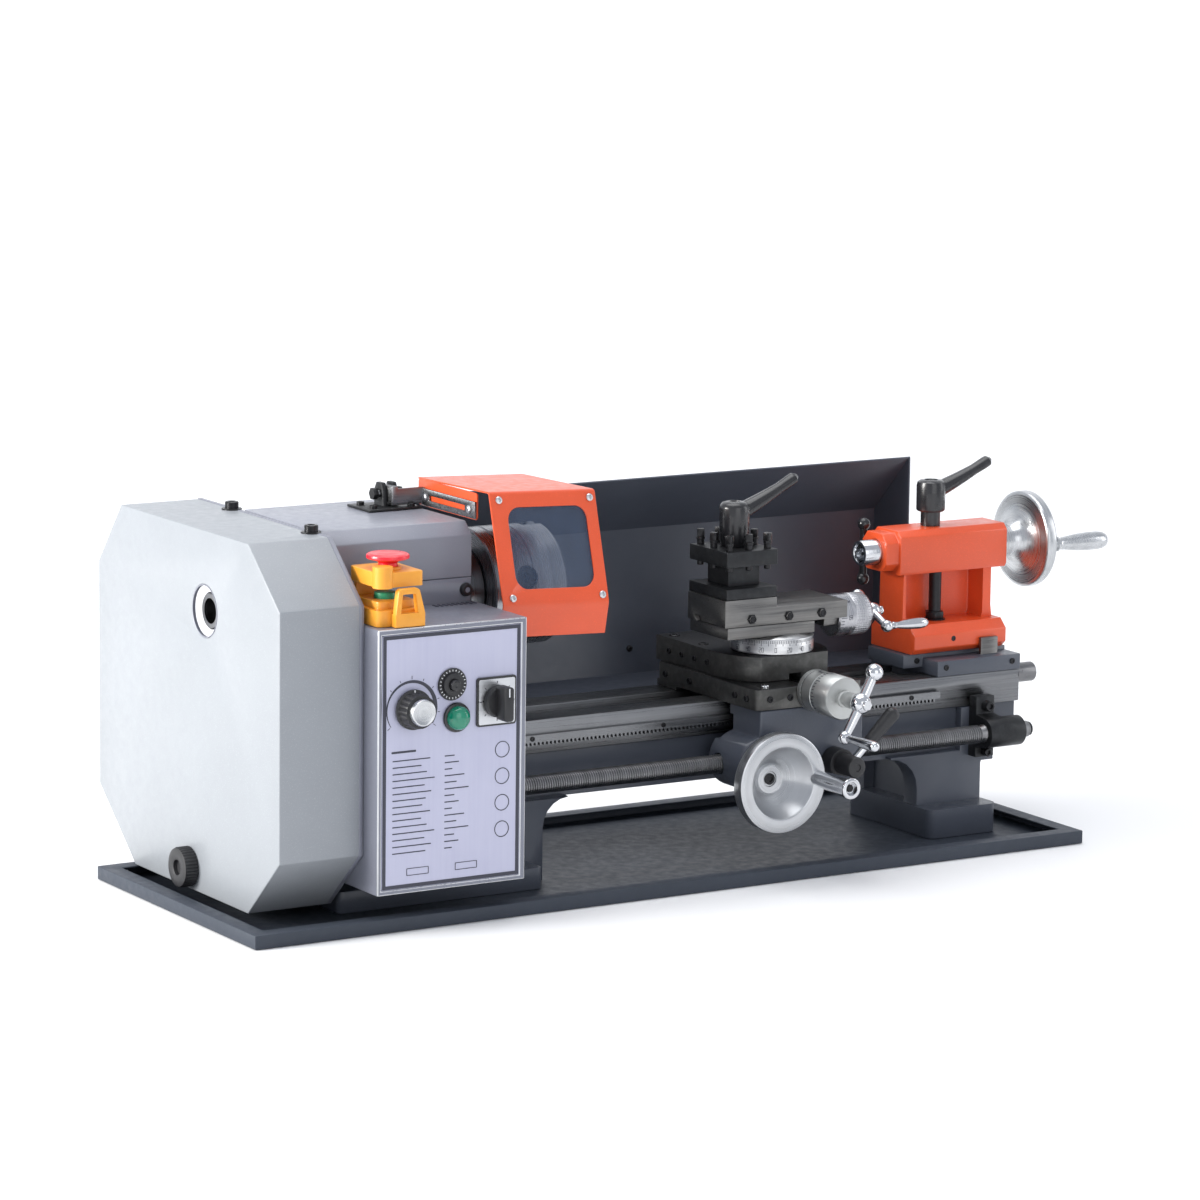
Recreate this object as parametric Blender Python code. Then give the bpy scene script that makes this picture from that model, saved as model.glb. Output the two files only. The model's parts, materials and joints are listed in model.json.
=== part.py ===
# Bench metal-turning lathe as an assembly of separate solids.
# X runs along the spindle (headstock at -X, tailstock at +X), -Y is the operator's side, +Z is up.
# The helper functions take millimetres and write metres.
import bpy
import bmesh
import math
from mathutils import Vector

for _o in list(bpy.data.objects):
    bpy.data.objects.remove(_o, do_unlink=True)

MM = 0.001
GAP = 0.3

# main sizes, mm
TRAY_X0, TRAY_X1, TRAY_Y0, TRAY_Y1, TRAY_H, TRAY_LIP = -400.0, 400.0, -142.0, 136.5, 11.2, 15.0
SPINDLE_Z = 242.7
BED_X0, BED_X1 = -290.0, 397.0
WAY_F0, WAY_F1, WAY_FZ = -48.0, -20.0, 137.0
WAY_R0, WAY_R1, WAY_RZ = 20.0, 50.0, 134.0
SCREW_Y, SCREW_Z = -72.0, 89.0
CARR_X = 140.0
COMP_Y = -46.0
FEED_X, FEED_Z = 143.6, 151.0
CHUCK_X0, CHUCK_X1, CHUCK_R = -118.7, -62.0, 50.0
HEAD_X0, HEAD_X1 = -296.2, -163.9
MOT_Y, MOT_Z = 118.0, 95.0
DROOP = 2.3


def material(name, rgb, metallic, rough):
    m = bpy.data.materials.new(name)
    m.use_nodes = True
    b = m.node_tree.nodes["Principled BSDF"]
    b.inputs["Base Color"].default_value = (*rgb, 1.0)
    b.inputs["Metallic"].default_value = metallic
    b.inputs["Roughness"].default_value = rough
    m.diffuse_color = (*rgb, 1.0)
    return m


M_SLATE = material("slate_paint", (0.075, 0.095, 0.12), 0.0, 0.45)
M_GREY = material("grey_paint", (0.36, 0.40, 0.45), 0.0, 0.4)
M_ORANGE = material("orange_paint", (0.80, 0.10, 0.03), 0.0, 0.35)
M_STEEL = material("ground_steel", (0.40, 0.38, 0.36), 1.0, 0.35)
M_DARK = material("black_oxide", (0.035, 0.035, 0.037), 0.6, 0.4)
M_CHROME = material("chrome", (0.75, 0.76, 0.78), 1.0, 0.1)
M_ALU = material("aluminium", (0.65, 0.66, 0.67), 1.0, 0.25)
M_PLASTIC = material("black_plastic", (0.02, 0.02, 0.022), 0.0, 0.5)
M_YELLOW = material("yellow_plastic", (0.85, 0.45, 0.04), 0.0, 0.4)
M_RED = material("red_plastic", (0.75, 0.02, 0.03), 0.0, 0.35)
M_GREEN = material("green_lens", (0.01, 0.35, 0.20), 0.0, 0.15)
M_PANEL = material("panel_print", (0.47, 0.47, 0.66), 0.0, 0.4)
M_GLASS = material("window_sheet", (0.25, 0.32, 0.42), 0.0, 0.1)
M_RUBBER = material("belt_rubber", (0.015, 0.015, 0.016), 0.0, 0.8)
M_BRASS = material("gear_brass", (0.45, 0.42, 0.38), 1.0, 0.4)


def make(name, verts, faces, mat):
    me = bpy.data.meshes.new(name)
    me.from_pydata([(x * MM, y * MM, z * MM) for x, y, z in verts], [], faces)
    bm = bmesh.new()
    bm.from_mesh(me)
    bmesh.ops.recalc_face_normals(bm, faces=bm.faces)
    bm.to_mesh(me)
    bm.free()
    me.materials.append(mat)
    o = bpy.data.objects.new(name, me)
    bpy.context.scene.collection.objects.link(o)
    return o


def put(axis, a, u, v):
    """A point from its place along an axis and its two other coordinates, in x, y, z order."""
    return {"x": (a, u, v), "y": (u, a, v), "z": (u, v, a)}[axis]


def prism(name, mat, axis, pts, a0, a1):
    n = len(pts)
    verts = [put(axis, a0, u, v) for u, v in pts] + [put(axis, a1, u, v) for u, v in pts]
    faces = [tuple(range(n))[::-1], tuple(range(n, 2 * n))]
    faces += [(i, (i + 1) % n, n + (i + 1) % n, n + i) for i in range(n)]
    return make(name, verts, faces, mat)


def box(name, mat, x0, x1, y0, y1, z0, z1):
    return prism(name, mat, "z", [(x0, y0), (x1, y0), (x1, y1), (x0, y1)], z0, z1)


def round_box(name, mat, axis, u0, u1, v0, v1, r, a0, a1, seg=4):
    pts = []
    for cu, cv, s in ((u1 - r, v0 + r, -90), (u1 - r, v1 - r, 0), (u0 + r, v1 - r, 90), (u0 + r, v0 + r, 180)):
        for k in range(seg + 1):
            t = math.radians(s + 90 * k / seg)
            pts.append((cu + r * math.cos(t), cv + r * math.sin(t)))
    return prism(name, mat, axis, pts, a0, a1)


def turned(name, mat, axis, cu, cv, prof, n=32, closed=False, flip=0.0):
    """A turned solid. prof is (place along the axis, radius); a radius of 0 closes an end."""
    verts, faces, rings = [], [], []
    for a, r in prof:
        if r <= 0:
            rings.append([len(verts)])
            verts.append(put(axis, a, cu, cv))
        else:
            rings.append(list(range(len(verts), len(verts) + n)))
            for i in range(n):
                t = 2 * math.pi * (i + flip) / n
                verts.append(put(axis, a, cu + r * math.cos(t), cv + r * math.sin(t)))
    pairs = list(zip(rings, rings[1:])) + ([(rings[-1], rings[0])] if closed else [])
    for p, q in pairs:
        for i in range(n):
            j = (i + 1) % n
            if len(p) == 1 and len(q) == 1:
                continue
            if len(p) == 1:
                faces.append((p[0], q[i], q[j]))
            elif len(q) == 1:
                faces.append((p[i], p[j], q[0]))
            else:
                faces.append((p[i], p[j], q[j], q[i]))
    if not closed:
        for ring, rev in ((rings[0], True), (rings[-1], False)):
            if len(ring) > 1:
                faces.append(tuple(ring[::-1]) if rev else tuple(ring))
    return make(name, verts, faces, mat)


def cyl(name, mat, axis, cu, cv, r, a0, a1, n=32):
    return turned(name, mat, axis, cu, cv, [(a0, r), (a1, r)], n)


def tube(name, mat, axis, cu, cv, r0, r1, a0, a1, n=32):
    return turned(name, mat, axis, cu, cv, [(a0, r0), (a0, r1), (a1, r1), (a1, r0)], n, closed=True)


def ball(name, mat, c, r, n=14, m=8):
    prof = [(c[2] - r * math.cos(math.pi * k / m), r * math.sin(math.pi * k / m)) for k in range(m + 1)]
    prof[0], prof[-1] = (prof[0][0], 0.0), (prof[-1][0], 0.0)
    return turned(name, mat, "z", c[0], c[1], prof, n)


def rod(name, mat, p, q, r0, r1=None, n=16):
    """A straight bar of round section between two points, radius r0 at p and r1 at q."""
    p, q = Vector(p), Vector(q)
    r1 = r0 if r1 is None else r1
    d = (q - p).normalized()
    u = d.orthogonal().normalized()
    w = d.cross(u)
    verts = []
    for c, r in ((p, r0), (q, r1)):
        for i in range(n):
            t = 2 * math.pi * i / n
            verts.append(tuple(c + u * r * math.cos(t) + w * r * math.sin(t)))
    faces = [tuple(range(n))[::-1], tuple(range(n, 2 * n))]
    faces += [(i, (i + 1) % n, n + (i + 1) % n, n + i) for i in range(n)]
    return make(name, verts, faces, mat)


def join(kind, a, *others):
    for b in others:
        mod = a.modifiers.new("b", "BOOLEAN")
        mod.operation = kind
        mod.solver = "EXACT"
        mod.object = b
        dg = bpy.context.evaluated_depsgraph_get()
        me = bpy.data.meshes.new_from_object(a.evaluated_get(dg))
        a.modifiers.clear()
        old = a.data
        a.data = me
        bpy.data.meshes.remove(old)
        bpy.data.objects.remove(b, do_unlink=True)
    keep = a.data.materials[0]
    a.data.materials.clear()
    a.data.materials.append(keep)
    bm = bmesh.new()
    bm.from_mesh(a.data)
    bmesh.ops.remove_doubles(bm, verts=bm.verts, dist=0.000002)
    bmesh.ops.dissolve_limit(bm, angle_limit=math.radians(0.5), verts=bm.verts, edges=bm.edges)
    bmesh.ops.triangulate(bm, faces=[f for f in bm.faces if len(f.verts) > 4])
    for f in bm.faces:
        f.material_index = 0
    bm.to_mesh(a.data)
    bm.free()
    return a


def add(a, *others):
    return join("UNION", a, *others)


def cut(a, *others):
    return join("DIFFERENCE", a, *others)


def at(o, x, y, z):
    """Put an object's origin at a point without moving the object."""
    p = Vector((x * MM, y * MM, z * MM))
    for v in o.data.vertices:
        v.co -= p
    o.location = p
    return o


def smooth(o, deg=35):
    bm = bmesh.new()
    bm.from_mesh(o.data)
    lim = math.radians(deg)
    for f in bm.faces:
        f.smooth = True
    for e in bm.edges:
        e.smooth = len(e.link_faces) == 2 and e.calc_face_angle(9.0) < lim
    bm.to_mesh(o.data)
    bm.free()
    return o


T = "tmp"

# ---------------------------------------------------------------- tray
tray = box("chip_tray", M_SLATE, TRAY_X0, TRAY_X1, TRAY_Y0, TRAY_Y1, 0, TRAY_H)
cut(tray, box(T, M_SLATE, TRAY_X0 + 1.5, TRAY_X1 - 1.5, TRAY_Y0 + 1.5, TRAY_Y1 - 1.5, 1.5, TRAY_H - 1.5),
    box(T, M_SLATE, TRAY_X0 + TRAY_LIP, TRAY_X1 - TRAY_LIP, TRAY_Y0 + TRAY_LIP, TRAY_Y1 - TRAY_LIP, 5, 20))
FLOOR = 1.5 + GAP

# ---------------------------------------------------------------- bed


def fillet(cx, cz, r, a0, a1, n=5):
    return [(cx + r * math.cos(math.radians(a0 + (a1 - a0) * k / n)), cz + r * math.sin(math.radians(a0 + (a1 - a0) * k / n))) for k in range(n + 1)]


arch = fillet(-61, 46, 24, 180, 90) + fillet(262, 41, 28, 90, 0)
side = [(BED_X0, FLOOR), (-85, FLOOR)] + arch + [(290, FLOOR), (357, FLOOR), (357, 58)] + fillet(367, 58, 10, 180, 90, 3) + [(BED_X1, 68), (BED_X1, 112), (BED_X0, 112)]
bed = prism("bed", M_SLATE, "y", side, -42, -30)
add(bed, prism(T, M_SLATE, "y", side, 30, 44),
    box(T, M_SLATE, BED_X0, BED_X1, WAY_F0, WAY_F1, 109, WAY_FZ),
    box(T, M_SLATE, BED_X0, BED_X1, WAY_R0, WAY_R1, 106, WAY_RZ))
for x in (-290, -100, 70, 190, 300, 386):
    add(bed, box(T, M_SLATE, x, x + 11, -36, 36, 72 if -90 < x < 280 or x > 370 else FLOOR, 111))
left_foot = [(BED_X0, FLOOR), (-85, FLOOR)] + fillet(-61, 46, 24, 180, 90) + [(-61, 71), (BED_X0, 71)]
right_foot = [(290, FLOOR), (357, FLOOR), (357, 58)] + fillet(367, 58, 10, 180, 90, 3) + [(367, 71), (262, 71)] + fillet(262, 41, 28, 90, 0)
add(bed, prism(T, M_SLATE, "y", left_foot, -50, -30), prism(T, M_SLATE, "y", left_foot, 30, 50),
    prism(T, M_SLATE, "y", right_foot, -50, -30), prism(T, M_SLATE, "y", right_foot, 30, 50),
    round_box(T, M_SLATE, "z", 286, 358, -75, 50, 8, FLOOR, 27),
    round_box(T, M_SLATE, "z", BED_X0, -99, -75, 75, 6, FLOOR, 20),
    box(T, M_SLATE, 335, 370, -50, -40, 60, 108.5))
cut(bed, box(T, M_SLATE, -279, -100, -29, 29, 0, 100), box(T, M_SLATE, 311, 346, -29, 29, 0, 100))
add(bed, cyl(T, M_SLATE, "x", -40, 132, 8.5, BED_X1 - 0.2, 416, 20))

rack = box("rack", M_STEEL, -105, 310, WAY_F0 - GAP - 5, WAY_F0 - GAP, 116.5, 125.5)

# ---------------------------------------------------------------- backsplash
t = 1.5
SP_X0, SP_X1 = -130.0, 367.0
prof = [(50.3, 108), (51.8, 108), (51.8, 126.5), (133.5, 126.5), (133.5, 256), (81, 308.5), (80, 307.4), (132, 255.4), (132, 128), (50.3, 128)]
splash = prism("backsplash", M_SLATE, "x", prof, SP_X0, SP_X1)
add(splash, prism(T, M_SLATE, "x", [(80, 127), (133.2, 127), (133.2, 255.9), (80.8, 308.2), (80, 307.4)], SP_X1 - t, SP_X1))

# ---------------------------------------------------------------- headstock
S = SPINDLE_Z
head = box("headstock_casting", M_GREY, HEAD_X0, HEAD_X1, -65.3, 75, WAY_FZ + GAP, 264.4)
cut(head, box(T, M_GREY, -285, -176, -53, 63, 150, 300))
add(head, cyl(T, M_GREY, "x", 0, S, 33, -285.5, -262), cyl(T, M_GREY, "x", 0, S, 33, -198, -175.5),
    box(T, M_GREY, -284, -264, -20, 20, 149, 235), box(T, M_GREY, -196, -176, -20, 20, 149, 235),
    box(T, M_GREY, HEAD_X0 + 2, HEAD_X1 - 2, 21, 49, WAY_RZ + GAP, 140),
    turned(T, M_GREY, "y", -169.5, 254.6, [(-60, 5.2), (-68.0, 5.2), (-69.0, 3.8)], 16))
cut(head, cyl(T, M_GREY, "x", 0, S, 19, -310, -150), cyl(T, M_GREY, "x", 0, S, 26.3, -285.0, -250), cyl(T, M_GREY, "x", 0, S, 26.3, -210, -176.0))
hood_o = [(-65.3, 264.7), (-65.3, 298.7), (-54.9, 308.9), (75, 308.9), (75, 264.7)]
hood_i = [(-62.3, 260), (-62.3, 297.4), (-53.7, 305.9), (72, 305.9), (72, 260)]
hood = prism("headstock_cover", M_GREY, "x", hood_o, HEAD_X0, HEAD_X1)
cut(hood, prism(T, M_GREY, "x", hood_i, HEAD_X0 + 3, HEAD_X1 - 3))

# ---------------------------------------------------------------- spindle line
spindle = turned("spindle", M_DARK, "x", 0, S,
                 [(-366, 10.3), (-366, 15), (-300, 15), (-300, 17), (-150, 17), (-150, 32), (-131.3, 32), (-131.3, 10.3)], 32, closed=True)
bear_r = tube("spindle_bearing_rear", M_STEEL, "x", 0, S, 17 + GAP, 26, -284.6, -266)
bear_f = tube("spindle_bearing_front", M_STEEL, "x", 0, S, 17 + GAP, 26, -194, -176.4)
pulley = turned("spindle_pulley", M_ALU, "x", 0, S,
                [(-345, 15 + GAP), (-345, 21.85), (-337, 21.85), (-337, 19), (-330, 19), (-330, 38), (-327, 38), (-327, 34), (-315, 34), (-315, 38), (-312, 38), (-312, 15 + GAP)], 32, closed=True)
plate = tube("chuck_backplate", M_STEEL, "x", 0, S, 12, CHUCK_R - 0.1, -131, -119, 48)
chuck = turned("chuck_body", M_STEEL, "x", 0, S,
               [(CHUCK_X0, 12), (CHUCK_X0, CHUCK_R - 1), (CHUCK_X0 + 1, CHUCK_R), (CHUCK_X1 - 2, CHUCK_R), (CHUCK_X1, CHUCK_R - 2), (CHUCK_X1, 12)], 48, closed=True)
jaws = []
for k in range(3):
    ang = math.radians(90 + 120 * k)
    slot = box(T, M_STEEL, -82, CHUCK_X1 + 5, -6.0, 6.0, 5, 60)
    jaw = box(f"chuck_jaw_{k + 1}", M_STEEL, -81.7, CHUCK_X1, -5.7, 5.7, 15, 41)
    add(jaw, box(T, M_STEEL, CHUCK_X1 - 2, -46, -5.7, 5.7, 15, 24), box(T, M_STEEL, CHUCK_X1 - 2, -54, -5.7, 5.7, 15, 33))
    for o in (slot, jaw):
        for v in o.data.vertices:
            y, z = v.co.y, v.co.z
            v.co.y = y * math.sin(ang) + z * math.cos(ang)
            v.co.z = -y * math.cos(ang) + z * math.sin(ang) + SPINDLE_Z * MM
    cut(chuck, slot)
    jaws.append(jaw)
for k in range(3):
    ang = math.radians(164 + 120 * k)
    c, s = math.cos(ang), math.sin(ang)
    cut(chuck, rod(T, M_STEEL, (-101, c * 42, S + s * 42), (-101, c * 60, S + s * 60), 10, n=20))

# ---------------------------------------------------------------- drive under the gear cover
motor = turned("motor", M_PLASTIC, "x", MOT_Y, MOT_Z, [(-292, 42), (-172, 42), (-165, 36)], 32)
add(motor, box(T, M_PLASTIC, -296.2, BED_X0 - GAP, 22, 160, 48, 132), cyl(T, M_PLASTIC, "x", MOT_Y, MOT_Z, 7, -334, -291, 20))
mot_pul = turned("motor_pulley", M_ALU, "x", MOT_Y, MOT_Z,
                 [(-330, 7 + GAP), (-330, 22), (-327, 22), (-327, 18), (-315, 18), (-315, 22), (-312, 22), (-312, 7 + GAP)], 28, closed=True)


def belt_loop(r1, r2, n=14):
    d = math.hypot(MOT_Y, MOT_Z - SPINDLE_Z)
    base = math.atan2(MOT_Z - SPINDLE_Z, MOT_Y)
    off = math.acos((r1 - r2) / d)
    out = []
    for i in range(n + 1):
        a = base + off + (2 * math.pi - 2 * off) * i / n
        out.append((r1 * math.cos(a), SPINDLE_Z + r1 * math.sin(a)))
    for i in range(n + 1):
        a = base - off + 2 * off * i / n
        out.append((MOT_Y + r2 * math.cos(a), MOT_Z + r2 * math.sin(a)))
    return out


belt = prism("drive_belt", M_RUBBER, "x", belt_loop(38.2, 22.2), -326.4, -315.6)
cut(belt, prism(T, M_RUBBER, "x", belt_loop(34.9, 18.9), -340, -300))

D = math.hypot(SCREW_Y, SCREW_Z - S)
ux, uz = SCREW_Y / D, (SCREW_Z - S) / D
RS, RA, RB = 22.0, 30.0, 28.85
RL = D - RS - 2 * RA - 2 * RB
A_Y, A_Z = ux * (RS + RA), S + uz * (RS + RA)
B_Y, B_Z = ux * (RS + 2 * RA + RB), S + uz * (RS + 2 * RA + RB)
gear_a = tube("idler_gear_1", M_BRASS, "x", A_Y, A_Z, 6 + GAP, RA - 0.15, -345, -337, 32)
gear_b = tube("idler_gear_2", M_BRASS, "x", B_Y, B_Z, 6 + GAP, RB - 0.15, -345, -337, 32)
gear_l = tube("leadscrew_gear", M_BRASS, "x", SCREW_Y, SCREW_Z, 6 + GAP, RL - 0.15, -345, -337, 32)
quad = prism("gear_quadrant", M_DARK, "x",
             [(-34, 208), (-14, 208), (-10, 190), (-28, 118), (-32, 104), (-44, 104), (-60, 124), (-60, 150)], -306, -300)
add(quad, cyl(T, M_DARK, "x", A_Y, A_Z, 6, -347, -303, 16), cyl(T, M_DARK, "x", B_Y, B_Z, 6, -347, -303, 16),
    box(T, M_DARK, -306, BED_X0 - GAP, -42, -33, 104, 128))

# ---------------------------------------------------------------- gear cover
gc_o = [(-74, 11.5), (-126.9, 61.5), (-126.9, 260.9), (-74, 307.8), (149.2, 307.8), (191.5, 255.4), (191.5, 68.1), (125, 11.5)]
gc_i = [(-73.4, 13.0), (-125.4, 62.1), (-125.4, 260.2), (-73.4, 306.3), (148.5, 306.3), (190.0, 254.9), (190.0, 68.8), (124.4, 13.0)]
cover = prism("gear_cover", M_GREY, "x", gc_o, -371, -296.6)
cut(cover, prism(T, M_GREY, "x", gc_i, -369.5, -280), cyl(T, M_GREY, "x", 0, 243, 21.5, -380, -360, 36))
add(cover, cyl(T, M_GREY, "z", -301.5, 87, 5.0, 307, 312.8, 16), cyl(T, M_GREY, "z", -301.5, -49, 5.0, 307, 312.8, 16))
knob = turned("gear_cover_knob", M_PLASTIC, "x", 26.2, 30.2, [(-371 - GAP, 16.5), (-381, 16.5), (-383.3, 14.0), (-383.3, 7), (-380, 6), (-380, 0)], 28)

# ---------------------------------------------------------------- control box
BX0, BX1, BY0 = HEAD_X0, -161.8, -149.8
cb_o = [(BY0, 32.4), (-88, 32.4), (-88, 106), (-65.6, 106), (-65.6, 244.7), (BY0, 244.7)]
cb_i = [(BY0 - 10, 36.5), (-90, 36.5), (-90, 108), (-67.6, 108), (-67.6, 240), (BY0 - 10, 240)]
cbox = prism("control_box", M_GREY, "x", cb_o, BX0, BX1)
cut(cbox, prism(T, M_GREY, "x", cb_i, -292.6, -167.0))
panel = box("control_panel", M_PANEL, -292.3, -167.3, BY0 + 0.2, BY0 + 2.2, 36.8, 239.7)
add(panel, turned(T, M_PANEL, "y", -230.1, 196.7, [(BY0 + 1, 13), (BY0 - 1.2, 13), (BY0 - 1.2, 9), (BY0 - 4, 8.4)], 24),
    turned(T, M_PANEL, "y", -266, 180, [(BY0 + 1, 5), (BY0 - 2, 5)], 16))
cut(panel, cyl(T, M_PANEL, "y", -230.1, 196.7, 5.0, BY0 - 10, BY0 + 5, 20))
PF = BY0 + 0.2 - GAP
speed = turned("speed_knob", M_PLASTIC, "y", -266, 180,
               [(PF - 2, 16), (PF - 4, 16), (PF - 5, 14.5), (PF - 15, 14), (PF - 15, 10.8), (PF - 19, 10.4), (PF - 20, 9.4)], 28)
brk_b = turned("breaker_button", M_PLASTIC, "y", -230.1, 196.7, [(PF + 2, 4.6), (PF - 7, 4.6), (PF - 8, 3.6)], 20)
lamp = turned("pilot_lamp", M_GREEN, "y", -226.2, 169.9, [(PF, 12), (PF - 2.5, 12), (PF - 3, 10.6), (PF - 7, 9.6), (PF - 10, 6.5), (PF - 11.5, 0)], 24)
sel = round_box("selector_plate", M_ALU, "y", -208.3, -172.0, 160, 199.6, 2, PF - 2.5, PF, 2)
sel_h = cyl("selector_handle", M_PLASTIC, "y", -190, 180, 13, PF - 2.5 - GAP - 6, PF - 2.5 - GAP, 28)
add(sel_h, round_box(T, M_PLASTIC, "y", -194.5, -185.5, 166, 194, 3, PF - 22, PF - 8, 2))

# emergency stop station on top of the box
EZ = 244.7 + GAP
est = round_box("estop_base", M_YELLOW, "z", -292, -249, -141, -90, 5, EZ, EZ + 13, 3)
add(est, round_box(T, M_YELLOW, "z", -288, -254, -134, -96, 4, EZ + 12, EZ + 19, 2),
    box(T, M_YELLOW, -280, -253.5, -148.5, -138, EZ, EZ + 10.5),
    prism(T, M_YELLOW, "y", [(-280, EZ + 9), (-253.5, EZ + 9), (-258.5, EZ + 29), (-260.5, EZ + 30.4), (-275.5, EZ + 30.4), (-277.5, EZ + 29)], -148.5, -143),
    box(T, M_YELLOW, -286, -256, -95, -90.5, EZ + 12, EZ + 30))
cut(est, prism(T, M_YELLOW, "y", [(-275, EZ + 11), (-260, EZ + 11), (-262, EZ + 26), (-273.5, EZ + 26)], -160, -141.5),
    cyl(T, M_YELLOW, "z", -271, -115, 9.3, EZ + 5, EZ + 40, 24))
start_b = cyl("start_button", M_GREEN, "z", -271, -115, 9, EZ + 8.6, EZ + 23.5, 24)
LID_Y, LID_Z = -92.0, 278.0
lid = round_box("estop_lid", M_YELLOW, "z", -290, -250, -140, -90.5, 4, 275.8, 287.4, 3)
cut(lid, box(T, M_YELLOW, -286, -254, -136, -94.5, 267, 284.5), box(T, M_YELLOW, -288, -254, -97, -80, 267, 284.5))
add(lid, tube(T, M_YELLOW, "z", -270, -117, 8.0, 11, 283, 289.4, 20), cyl(T, M_YELLOW, "z", -285.5, -136.5, 8, 275.8, 292.6, 20))
cut(lid, cyl(T, M_YELLOW, "z", -270, -117, 8.0, 267, 307, 20))
mush = turned("estop_mushroom", M_RED, "z", -270, -117,
              [(276.5, 0), (276.5, 7.7), (291.8, 7.7), (293.6, 9.5), (295.2, 15.5), (296.0, 17.2), (298.2, 17.2), (299.6, 15.5), (300.2, 9), (300.4, 0)], 28)

# ---------------------------------------------------------------- chuck guard
PIV_Y, PIV_Z = 33.0, 321.0
G0, G1 = -160.0, -61.0


def droop(o):
    """The guard hangs a little down towards its free end."""
    for v in o.data.vertices:
        v.co.z -= (v.co.x - G0 * MM) * math.tan(math.radians(DROOP))
    return o


g_base = box("guard_bracket", M_DARK, -215, -166, 12, 50, 308.9 + GAP, 311.2)
add(g_base, prism(T, M_DARK, "x", [(25, 310), (41, 310), (40, 325), (37, 330), (29, 330), (26, 325)], -195, -191),
    prism(T, M_DARK, "x", [(25, 310), (41, 310), (40, 325), (37, 330), (29, 330), (26, 325)], -185, -181))
cut(g_base, cyl(T, M_DARK, "x", PIV_Y, PIV_Z, 3.3, -200, -170, 16))
arm = cyl("guard_arm", M_STEEL, "x", PIV_Y, PIV_Z, 3, -197, -179, 16)
add(arm, prism(T, M_STEEL, "x", [(18, 314), (36, 314), (39, 318), (39, 324), (36, 328), (18, 328)], -190.7, -185.3),
    box(T, M_STEEL, -190.7, -161.2, 18, 20.5, 312.5, 326))
strap = box(T, M_STEEL, -162.2, -160.4, -66, 20.5, 311, 325)
cut(strap, box(T, M_STEEL, -170, -150, -50, 8, 315.8, 320.2))
add(arm, droop(strap))
gp_o = [(29.4, 332.7), (-85, 335.6), (-110, 247), (-104, 220)]
gp_i = [(-102.6, 220.3), (-108.45, 247), (-83.9, 334.05), (29.4, 331.2)]
guard = prism("chuck_guard", M_ORANGE, "x", gp_o + gp_i, G0, G1)
add(guard, prism(T, M_ORANGE, "x", [(-66, 310), (29, 310), (29, 332), (-66, 334)], G0, G0 + 1.5))
cut(guard, round_box(T, M_ORANGE, "y", -145.4, -71.5, 259, 323, 11, -125, -70, 4))
droop(guard)
wy = lambda z: -85 + (z - 335.6) * 25.0 / 88.6
window = droop(prism("guard_window", M_GLASS, "x",
                     [(wy(328) + 1.85, 328), (wy(328) + 3.4, 328), (wy(253) + 3.4, 253), (wy(253) + 1.85, 253)], -152, -66))

# ---------------------------------------------------------------- leadscrew
screw = turned("leadscrew", M_STEEL, "x", SCREW_Y, SCREW_Z, [(-349, 6), (-300, 6), (-300, 8), (342.7, 8), (342.7, 7), (389, 7), (390, 6)], 24)
lb_r = box("leadscrew_bracket_right", M_DARK, 343, 362, -61, -50 - GAP, 66, 119)
add(lb_r, prism(T, M_DARK, "x", [(-85, 89), (-72, 102), (-58, 104), (-58, 74), (-72, 76)], 343, 362), cyl(T, M_DARK, "x", SCREW_Y, SCREW_Z, 13, 343, 380, 28),
    cyl(T, M_DARK, "y", 352.5, 111, 4.6, -66, -60, 16), cyl(T, M_DARK, "y", 352.5, 70.5, 3.8, -65, -60, 16))
cut(lb_r, cyl(T, M_DARK, "x", SCREW_Y, SCREW_Z, 7.3, 300, 400, 24))
lb_l = box("leadscrew_bracket_left", M_DARK, -252, -236, -83, -50 - GAP, 74, 104)
cut(lb_l, cyl(T, M_DARK, "x", SCREW_Y, SCREW_Z, 8.3, -300, -200, 24))
add(lb_l, box(T, M_DARK, -252, -236, -55, -50 - GAP, 40, 104))

# ---------------------------------------------------------------- saddle and apron
SX0, SX1, SZ = 87.0, 193.0, 155.0
saddle = round_box("saddle", M_DARK, "z", SX0, SX1, -105, 50, 5, WAY_FZ + GAP, SZ, 3)
add(saddle, box(T, M_DARK, SX0, SX1, WAY_R0, 50, WAY_RZ + GAP, 140),
    turned(T, M_DARK, "y", FEED_X, FEED_Z, [(-101, 12), (-105 - GAP, 12), (-105 - GAP, 17.5), (-124, 17.5), (-125, 16.5)], 28),
    turned(T, M_DARK, "z", 98, -100, [(153, 3.6), (157.5, 3.6), (158.5, 2.6)], 12))
cut(saddle, box(T, M_DARK, FEED_X - 7, FEED_X + 7, -98, 40, 143, SZ + 10), cyl(T, M_DARK, "y", FEED_X, FEED_Z, 4.5, -130, -90, 20))
apron = box("apron", M_SLATE, 91, 194, -105, -58, 68, WAY_FZ)
add(apron, turned(T, M_SLATE, "y", 94, 91, [(-105, 22), (-102.5, 24), (-58, 24)], 32))
cut(apron, cyl(T, M_SLATE, "x", SCREW_Y, SCREW_Z, 8.6, 0, 250, 24), prism(T, M_SLATE, "y", [(150, 60), (200, 60), (200, 84), (184, 84), (172, 68)], -115, -95),
    box(T, M_SLATE, 60, 200, -64, -50, 108, 128))
hw = turned("apron_handwheel", M_ALU, "y", 95, 81.5,
            [(-105 - GAP, 13), (-107.5, 15), (-123.5, 32), (-123.5, 41), (-124.5, 42), (-134, 42), (-135, 41), (-135, 30.5), (-134, 29.5), (-113, 14), (-112.5, 12.5), (-115, 12), (-115, 0)], 40)
add(hw, turned(T, M_ALU, "y", 130, 82.5, [(-130, 8), (-135, 9.3), (-150, 9.3), (-182, 8.2), (-184, 7.6)], 20))
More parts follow.
